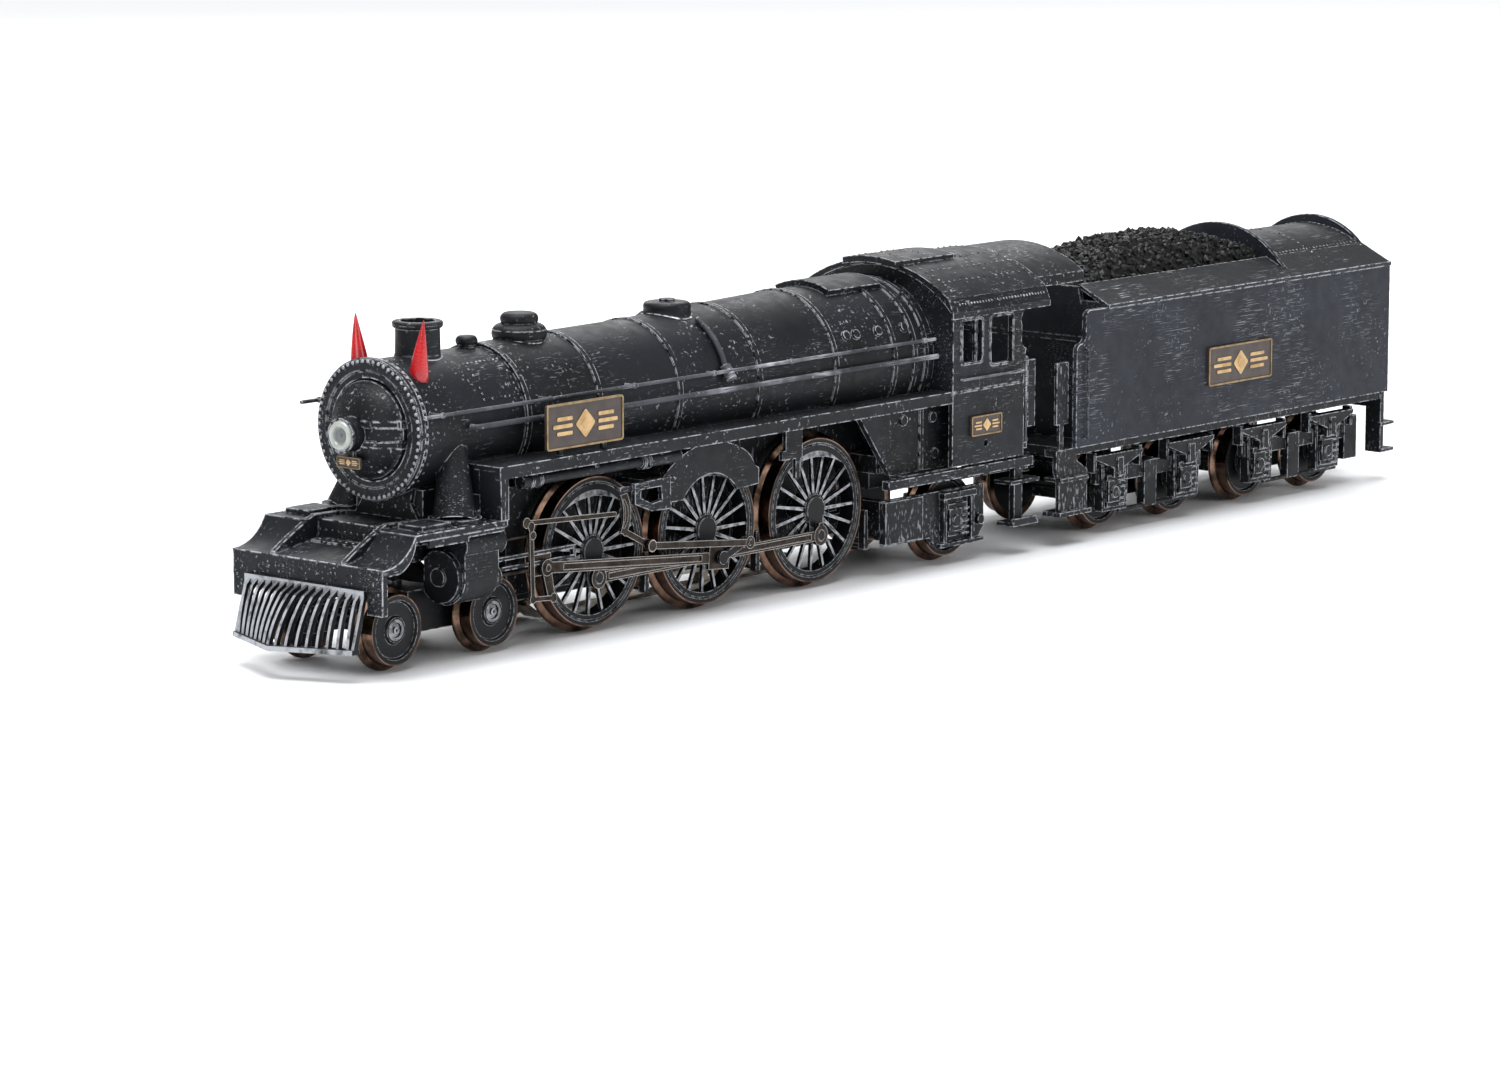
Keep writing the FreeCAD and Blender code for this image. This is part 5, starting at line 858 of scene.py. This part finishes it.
@dataclass
class Wheels:
    """Every wheelset, each finished round its own axle."""

    axles: tuple[tuple[str, float], ...] = (
        ("driver_wheelset_front", 10.83), ("driver_wheelset_middle", 10.83), ("driver_wheelset_rear", 10.83),
        ("pilot_wheelset_front", 4.94), ("pilot_wheelset_rear", 4.94), ("trailing_wheelset", 6.3),
        ("tender_wheelset_1", 5.8), ("tender_wheelset_2", 5.8), ("tender_wheelset_3", 5.8),
        ("tender_wheelset_4", 5.8))
    # Between which radii, in mm, the outer faces are rubbed bright
    bands: tuple[tuple[str, tuple[float, float]], ...] = (("driver", (2.6, 8.9)), ("pilot", (0.2, 1.5)))

    def dress(self) -> None:
        """Blackens the wheels and turns their treads bright."""
        for node, radius in self.axles:
            low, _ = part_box(node)
            middle = sum(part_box(node), Vector()) / 2
            centre = Vector((middle.x, 0, low.z + (radius + FLANGE_DEPTH) * MM))
            band = next((limits for start, limits in self.bands if node.startswith(start)), (0.0, 0.0))
            finish = WheelFinish(f"blackened_wheel_{node}", centre, radius, spoke_band=band)
            dress(frame["nodes"][node], finish.make())


@dataclass
class Motion:
    """Rods, valve gear, drive and small metal fittings."""

    rods: tuple[str, ...] = (
        "coupling_rod", "main_rod", "crosshead", "eccentric_rod", "expansion_link", "valve_rods")

    def dress(self) -> None:
        """Gives each metal its finish."""
        steel = Metal("browned_steel_rods", "#3d3631", "#1a1715", 0.36, edge="#d2cec9").make()
        for rod in self.rods:
            for side in ("left", "right"):
                dress(frame["nodes"][f"{rod}_{side}"], steel)
        plain = (
            ("motor", Metal("plated_steel_motor_can", "#a3a4a6", "#77787a", 0.28).make()),
            ("worm_shaft", Metal("machined_brass", "#c9a052", "#8e6b32", 0.25).make()),
            ("drive_gear", Metal("machined_brass_gear", "#c39a4c", "#86652f", 0.27).make()),
            ("chassis_screws", Metal("zinc_plated_screws", "#8e9094", "#5c5d60", 0.3).make()),
            ("pickup_shoe", Metal("nickel_silver_spring", "#a39b8d", "#6c665c", 0.3).make()),
            ("reduction_gear", Moulding("moulded_acetal", "#d9d4c8", "#c9c3b4", 0.4).make()),
            ("circuit_board", Moulding("green_glass_fibre_laminate", "#1e5a34", "#17492a", 0.35, 3.0).make()),
            ("headlamp_lens", LampGlass().make()),
            ("coal_load", Coal(name="crushed_coal_bed").make()),
        )
        for node, material in plain:
            dress(frame["nodes"][node], material)
        plates = Metal("etched_brass_plates", "#b18a5a", "#7a5c38", 0.35).make()
        for node in ("loco_nameplates", "tender_nameplates"):
            dress(frame["nodes"][node], plates)


@dataclass(frozen=True)
class PlateFace:
    """One etched plate: where its lower corner is, how wide and tall it is, and which way it faces."""

    name: str
    middle: tuple[float, float, float]
    width: float
    height: float
    facing: tuple[int, int]
    body: str
    replaces: str | None = None


@dataclass
class EtchedPlates:
    """The brass-edged plates. Each is a dark ground with a raised brass border, lozenge and bars."""

    thickness: float = 0.45
    relief: float = 0.17
    border: float = 0.30
    corner: float = 0.45

    def faces(self) -> list[PlateFace]:
        """Lists the plates.

        Returns:
            One entry for each plate.
        """
        found = []
        for side, word in ((1, "left"), (-1, "right")):
            found.append(PlateFace(f"boiler_plate_{word}", (31.5, side * 14.1, 30.55), 16.2, 6.5, (0, side),
                                   "locomotive"))
            found.append(PlateFace(f"cab_plate_{word}", (-59.25, side * 15.22, 20.55), 7.5, 3.1, (0, side),
                                   "locomotive"))
            found.append(PlateFace(f"tender_plate_{word}", (-125.3, side * 15.62, 23.55), 17.4, 6.3, (0, side),
                                   "tender"))
        found.append(PlateFace("lamp_plate", (64.05, 0, 27.2), 4.4, 1.6, (1, 0), "locomotive"))
        return found

    def slab(self, width: float, height: float, low: float, high: float, corner: float) -> bpy.types.Object:
        """Models a flat slab with rounded corners, lying on its back.

        Args:
            width: Its width in mm.
            height: Its height in mm.
            low: Its underside in mm.
            high: Its top in mm.
            corner: The corners' radius in mm.

        Returns:
            The slab.
        """
        deselect_all()
        bpy.ops.mesh.primitive_cube_add(size=1.0, location=(0, 0, (low + high) / 2 * MM),
                                        scale=(width * MM, height * MM, (high - low) * MM))
        slab = bpy.context.object
        bpy.ops.object.transform_apply(location=True, rotation=True, scale=True)
        select_edges(slab, lambda a, b: abs((a - b).z) > 0.5 * (high - low) * MM)
        bpy.ops.mesh.bevel(offset=corner * MM, segments=4, affect="EDGES")
        bpy.ops.object.mode_set(mode="OBJECT")
        return slab

    def border_ring(self, face: PlateFace) -> bpy.types.Object:
        """Models the raised border, by sinking the middle of a slab.

        Args:
            face: The plate.

        Returns:
            The border.
        """
        shrink = min(1.0, face.height / 4.0)
        ring = self.slab(face.width, face.height, self.thickness - 0.2, self.thickness + 0.03,
                         self.corner * shrink)
        select_faces(ring, lambda centre, normal: normal.z > 0.9)
        bpy.ops.mesh.inset(thickness=self.border * shrink * MM, depth=0)
        bpy.ops.mesh.extrude_region_move(TRANSFORM_OT_translate={"value": (0, 0, -self.relief * MM)})
        bpy.ops.object.mode_set(mode="OBJECT")
        bevel = ring.modifiers.new("rounded", "BEVEL")
        bevel.width = 0.03 * MM
        bevel.segments = 2
        bpy.ops.object.modifier_apply(modifier="rounded")
        return ring

    def emblem(self, face: PlateFace) -> bpy.types.Object:
        """Models the raised lozenge with two bars to each side.

        Args:
            face: The plate.

        Returns:
            The emblem.
        """
        high = self.thickness + 0.01
        low = self.thickness - 0.2
        side = 0.46 * face.height
        parts = [self.slab(side, side, low, high, 0.05 * face.height)]
        parts[0].data.transform(Matrix.Rotation(math.radians(45), 4, "Z"))
        hole = self.slab(0.2 * face.height, 0.2 * face.height, low, high + 0.04, 0.02 * face.height)
        hole.data.transform(Matrix.Rotation(math.radians(45), 4, "Z"))
        parts.append(hole)
        inner = 0.42 * face.height
        reach = 0.5 * face.width - 0.2 * face.height
        for way in (-1, 1):
            for row, share in ((-0.16, 0.8), (0.0, 1.0), (0.16, 0.8)):
                length = (reach - inner) * share
                bar = self.slab(length, 0.085 * face.height, low, high, 0.03 * face.height)
                bar.data.transform(Matrix.Translation((way * (inner + length / 2) * MM, row * face.height * MM, 0)))
                parts.append(bar)
        return join(parts)

    def place(self, piece: bpy.types.Object, face: PlateFace) -> None:
        """Stands a plate's piece up where it belongs.

        Args:
            piece: The piece, lying on its back at the origin.
            face: The plate.
        """
        out = Vector((face.facing[0], face.facing[1], 0))
        across = Vector((0, 0, 1)).cross(out)
        turned = Matrix((across, Vector((0, 0, 1)), out)).transposed().to_4x4()
        piece.data.transform(Matrix.Translation(at(*face.middle)) @ turned)

    def build(self, edge: bpy.types.Material, gold: bpy.types.Material, ground: bpy.types.Material) -> None:
        """Builds every plate.

        Args:
            edge: For the border.
            gold: For the emblem.
            ground: For what lies behind them.
        """
        for face in self.faces():
            shrink = min(1.0, face.height / 4.0)
            back = self.slab(face.width - 0.02, face.height - 0.02, 0.0, self.thickness - 0.1, self.corner * shrink)
            stands_for = {"boiler_plate_left": "loco_nameplates", "tender_plate_left": "tender_nameplates"}
            for suffix, piece, finish in (("ground", back, ground), ("border", self.border_ring(face), edge),
                                          ("emblem", self.emblem(face), gold)):
                self.place(piece, face)
                finish_piece(piece, f"{face.name}_{suffix}", face.body, finish)
            if face.name in stands_for:
                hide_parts(stands_for[face.name])


@dataclass
class PlateFeet:
    """The two feet under each long boiler plate."""

    places: tuple[float, ...] = (26.9, 36.1)

    def build(self, paint: bpy.types.Material) -> None:
        """Models the feet.

        Args:
            paint: Their finish.
        """
        for side, word in ((1, "left"), (-1, "right")):
            made = []
            for x in self.places:
                deselect_all()
                bpy.ops.mesh.primitive_cube_add(size=1.0, location=at(x, side * 13.75, 27.45),
                                                scale=(0.8 * MM, 0.8 * MM, 2.2 * MM))
                bpy.ops.object.transform_apply(location=True, rotation=True, scale=True)
                foot = bpy.context.object
                select_edges(foot, lambda a, b: abs((a - b).z) > 1.0 * MM)
                bpy.ops.mesh.bevel(offset=0.15 * MM, segments=2, affect="EDGES")
                bpy.ops.object.mode_set(mode="OBJECT")
                made.append(foot)
            finish_piece(join(made), f"boiler_plate_feet_{word}", "locomotive", paint)


@dataclass
class Horns:
    """The two red horns on the smokebox: round, tapering and bent a little, each drawn up ring by ring."""

    foot: tuple[float, float] = (56.15, 5.6)
    sides: int = 20
    # Height, radius, and how far the middle has moved forwards and outwards
    stations: tuple[tuple[float, float, float, float], ...] = (
        (37.6, 1.5, 0.0, 0.0), (39.4, 1.42, 0.0, 0.05), (41.6, 1.08, 0.0, 0.3), (43.8, 0.68, 0.0, 0.6),
        (45.6, 0.32, -0.04, 0.82), (46.8, 0.08, -0.08, 0.94))

    def build(self, material: bpy.types.Material) -> None:
        """Models both horns as one piece, in place of the plain ones.

        Args:
            material: Their finish.
        """
        made = []
        for side in (1, -1):
            deselect_all()
            z, radius = self.stations[0][:2]
            bpy.ops.mesh.primitive_circle_add(vertices=self.sides, radius=radius * MM, fill_type="NGON",
                                              location=at(self.foot[0], side * self.foot[1], z))
            horn = bpy.context.object
            bpy.ops.object.transform_apply(location=True, rotation=True, scale=True)
            bpy.ops.object.mode_set(mode="EDIT")
            bpy.ops.mesh.select_all(action="SELECT")
            for before, after in zip(self.stations, self.stations[1:]):
                step = ((after[2] - before[2]) * MM, side * (after[3] - before[3]) * MM,
                        (after[0] - before[0]) * MM)
                bpy.ops.mesh.extrude_region_move(TRANSFORM_OT_translate={"value": step})
                share = after[1] / before[1]
                middle = at(self.foot[0] + after[2], side * (self.foot[1] + after[3]), after[0])
                bpy.ops.transform.resize(value=(share, share, 1.0), center_override=middle)
            bpy.ops.mesh.select_all(action="SELECT")
            bpy.ops.mesh.normals_make_consistent(inside=False)
            bpy.ops.object.mode_set(mode="OBJECT")
            rounded = horn.modifiers.new("rounded", "SUBSURF")
            rounded.levels = 2
            bpy.ops.object.modifier_apply(modifier="rounded")
            made.append(horn)
        horns = join(made)
        bpy.ops.object.shade_smooth()
        finish_piece(horns, "signal_horns", "locomotive", material)
        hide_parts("horns")


@dataclass
class CoalHeap:
    """Broken coal over the whole heap, each lump a small angular stone."""

    seed: int = 87
    lump_mm: float = 0.8
    spacing_mm: float = 0.78
    kinds: int = 4

    def lump(self, number: int) -> bpy.types.Object:
        """Models one lump.

        Args:
            number: Which of the kinds it is.

        Returns:
            The lump at the origin.
        """
        deselect_all()
        bpy.ops.mesh.primitive_ico_sphere_add(subdivisions=1, radius=self.lump_mm * MM)
        piece = bpy.context.object
        bpy.ops.object.mode_set(mode="EDIT")
        bpy.ops.mesh.select_all(action="SELECT")
        bpy.ops.transform.vertex_random(offset=0.32 * self.lump_mm * MM, seed=self.seed + number)
        bpy.ops.transform.resize(value=(1.0, 0.75, 0.6))
        bpy.ops.mesh.normals_make_consistent(inside=False)
        bpy.ops.object.mode_set(mode="OBJECT")
        return piece

    def build(self, material: bpy.types.Material) -> None:
        """Scatters the lumps.

        Args:
            material: Their finish.
        """
        chance = random.Random(self.seed)
        skin = Skin("coal_load")
        low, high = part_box("coal_load")
        groups: list[list[Matrix]] = [[] for _ in range(self.kinds)]
        step = self.spacing_mm * MM
        rows = int((high.x - low.x) / step)
        columns = int((high.y - low.y) / step)
        for row in range(rows + 1):
            for column in range(columns + 1):
                x = low.x + (row + chance.uniform(0.1, 0.9)) * step
                y = low.y + (column + chance.uniform(0.1, 0.9)) * step
                turn = Euler([chance.uniform(0, 2 * math.pi) for _ in range(3)]).to_quaternion()
                size = chance.uniform(0.55, 1.25)
                kind = chance.randrange(self.kinds)
                found = skin.hit(Vector((x, y, high.z + 5 * MM)), Vector((0, 0, -1)))
                if found is None or found[1].z < 0.1:
                    continue
                place = found[0] - Vector((0, 0, 0.15 * MM))
                groups[kind].append(Matrix.LocRotScale(place, turn, Vector((size, size, size))))
        for kind, places in enumerate(groups):
            heap = copies(self.lump(kind), places)
            finish_piece(heap, f"coal_lumps_{kind}", "tender", material)


@dataclass
class Rivets:
    """All the rivets of the castings."""

    boiler_z: float = 31.35
    clear_mm: float = 20.0  # from the boiler's axis, well outside its skin

    def ring(self) -> RivetGang:
        """Sets the rivets round the smokebox ring, on its face and on its edge.

        Returns:
            The gang.
        """
        gang = RivetGang("smokebox_rivets", "locomotive", 0.27)
        ring = Skin("smokebox_front")
        shell = Skin("boiler_shell")
        axis = at(0, 0, self.boiler_z)
        for way in directions(60):
            gang.add(ring, axis + way * 9.55 * MM + Vector((0.07, 0, 0)), Vector((-1, 0, 0)))
        for way in directions(56):
            gang.add(shell, axis + way * self.clear_mm * MM + Vector((58.9 * MM, 0, 0)), -way)
        return gang

    def roof(self) -> RivetGang:
        """Sets the rows on the cab roof.

        Returns:
            The gang.
        """
        gang = RivetGang("roof_rivets", "locomotive", 0.2)
        roof = Skin("cab_roof")
        for side in (-1, 1):
            gang.row(roof, at(-53.0, side * 40, 39.5), at(-74.0, side * 40, 39.5), 0.72, Vector((0, -side, 0)))
            for y, start, end in ((4.5, -65.2, -73.8), (8.2, -53.5, -73.8), (11.4, -53.5, -73.8)):
                gang.row(roof, at(start, side * y, 60), at(end, side * y, 60), 1.5, Vector((0, 0, -1)))
        for x in (-53.2, -58.6, -66.0, -74.2):
            gang.row(roof, at(x, -13.2, 60), at(x, 13.2, 60), 1.2, Vector((0, 0, -1)))
        return gang

    def tender(self) -> RivetGang:
        """Sets the rows on the tender's tank top.

        Returns:
            The gang.
        """
        gang = RivetGang("tender_rivets", "tender", 0.2)
        body = Skin("tender_body")
        for x in (-142.4, -153.0, -167.2):
            gang.row(body, at(x, -10.4, 60), at(x, 10.4, 60), 0.95, Vector((0, 0, -1)))
        for side in (-1, 1):
            gang.row(body, at(-143.5, side * 9.2, 60), at(-167.0, side * 9.2, 60), 1.0, Vector((0, 0, -1)))
        return gang

    def front(self) -> RivetGang:
        """Sets the groups on the buffer beam and the deck.

        Returns:
            The gang.
        """
        gang = RivetGang("beam_rivets", "locomotive", 0.2)
        plate = Skin("front_footplate")
        ahead = Vector((-1, 0, 0))
        for side in (-1, 1):
            for y, z in ((13.4, 13.4), (12.6, 12.4), (13.6, 11.2), (12.7, 10.4), (7.6, 13.2), (8.5, 13.2), (7.6, 12.2),
                         (8.5, 12.2), (4.6, 13.3), (5.4, 13.3), (4.6, 12.4), (5.4, 12.4)):
                gang.add(plate, at(95, side * y, z), ahead)
        gang.row(plate, at(65.0, -6.4, 40), at(65.0, 6.4, 40), 1.3, Vector((0, 0, -1)))
        gang.row(plate, at(66.0, -6.0, 17.2), at(66.0, 6.0, 17.2), 1.2, Vector((-1, 0, 0)))
        for side in (-1, 1):
            gang.row(plate, at(50.0, side * 13.7, 40), at(65.0, side * 13.7, 40), 1.5, Vector((0, 0, -1)))
        return gang

    def boiler(self) -> RivetGang:
        """Sets the rivets of the smokebox patch plates and the firebox.

        Returns:
            The gang.
        """
        gang = RivetGang("boiler_rivets", "locomotive", 0.2)
        shell = Skin("boiler_shell")
        for side in (-1, 1):
            way = Vector((0, -side, 0))
            for z in (34.9, 39.6):
                gang.row(shell, at(46.4, side * 30, z), at(39.4, side * 30, z), 0.85, way)
            for x in (46.4, 39.4):
                gang.row(shell, at(x, side * 30, 35.7), at(x, side * 30, 38.9), 0.8, way)
        for way in directions(40):
            if way.z > -0.75:
                gang.add(shell, at(57.6, 0, self.boiler_z) + way * self.clear_mm * MM, -way)
        return gang

    def build(self, paint: bpy.types.Material, bright: bpy.types.Material) -> None:
        """Builds every gang.

        Args:
            paint: The finish of most of them.
            bright: The finish of those round the smokebox ring.
        """
        self.ring().build(bright)
        for gang in (self.roof(), self.tender(), self.front(), self.boiler()):
            gang.build(paint)


def select_edges(piece: bpy.types.Object, chosen: Callable[[Vector, Vector], bool]) -> None:
    """Goes into edit mode with some edges selected.

    Args:
        piece: The mesh object.
        chosen: Says from an edge's two ends if it is taken.
    """
    bpy.context.view_layer.objects.active = piece
    bpy.ops.object.mode_set(mode="EDIT")
    bpy.ops.mesh.select_mode(type="EDGE")
    bpy.ops.mesh.select_all(action="DESELECT")
    bpy.ops.object.mode_set(mode="OBJECT")
    mesh = piece.data
    for edge in mesh.edges:
        ends = [mesh.vertices[i].co for i in edge.vertices]
        edge.select = chosen(ends[0], ends[1])
    bpy.ops.object.mode_set(mode="EDIT")


def select_faces(piece: bpy.types.Object, chosen: Callable[[Vector, Vector], bool]) -> None:
    """Goes into edit mode with some faces selected.

    Args:
        piece: The mesh object.
        chosen: Says from a face's middle and direction if it is taken.
    """
    bpy.context.view_layer.objects.active = piece
    bpy.ops.object.mode_set(mode="EDIT")
    bpy.ops.mesh.select_mode(type="FACE")
    bpy.ops.mesh.select_all(action="DESELECT")
    bpy.ops.object.mode_set(mode="OBJECT")
    for face in piece.data.polygons:
        face.select = chosen(face.center, face.normal)
    bpy.ops.object.mode_set(mode="EDIT")


def main() -> None:
    """Builds and dresses the train."""
    Studio().build()
    Castings().dress()
    Wheels().dress()
    Motion().dress()
    edge = Metal("rubbed_brass_border", "#a08a68", "#766045", 0.38).make()
    gold = Metal("etched_brass_emblem", "#cfb083", "#a88b60", 0.38).make()
    ground = Moulding("brown_black_lacquer", "#463b36", "#382f2b", 0.42).make()
    EtchedPlates().build(edge, gold, ground)
    feet = WeatheredPaint(name="blue_black_enamel_feet").make()
    PlateFeet().build(feet)
    studs = WeatheredPaint(name="rubbed_rivet_enamel", edge_mm=0.2, rub_share=0.8, rub_from=0.45,
                           speck_share=0.9).make()
    bright = WeatheredPaint(name="silvered_rivet_heads", dark="#7d8086", light="#9b9ea4", rub_share=0.9,
                            rub_from=0.4, speck_share=0.9).make()
    Rivets().build(studs, bright)
    CoalHeap().build(Coal().make())
    red = Moulding("gloss_red_styrene", "#c4131b", "#a80f17", 0.25, 3.0, 0.5).make()
    Horns().build(red)
    dress(frame["nodes"]["horns"], red)


if __name__ == "__main__":
    logging.basicConfig(level=logging.INFO)
    main()
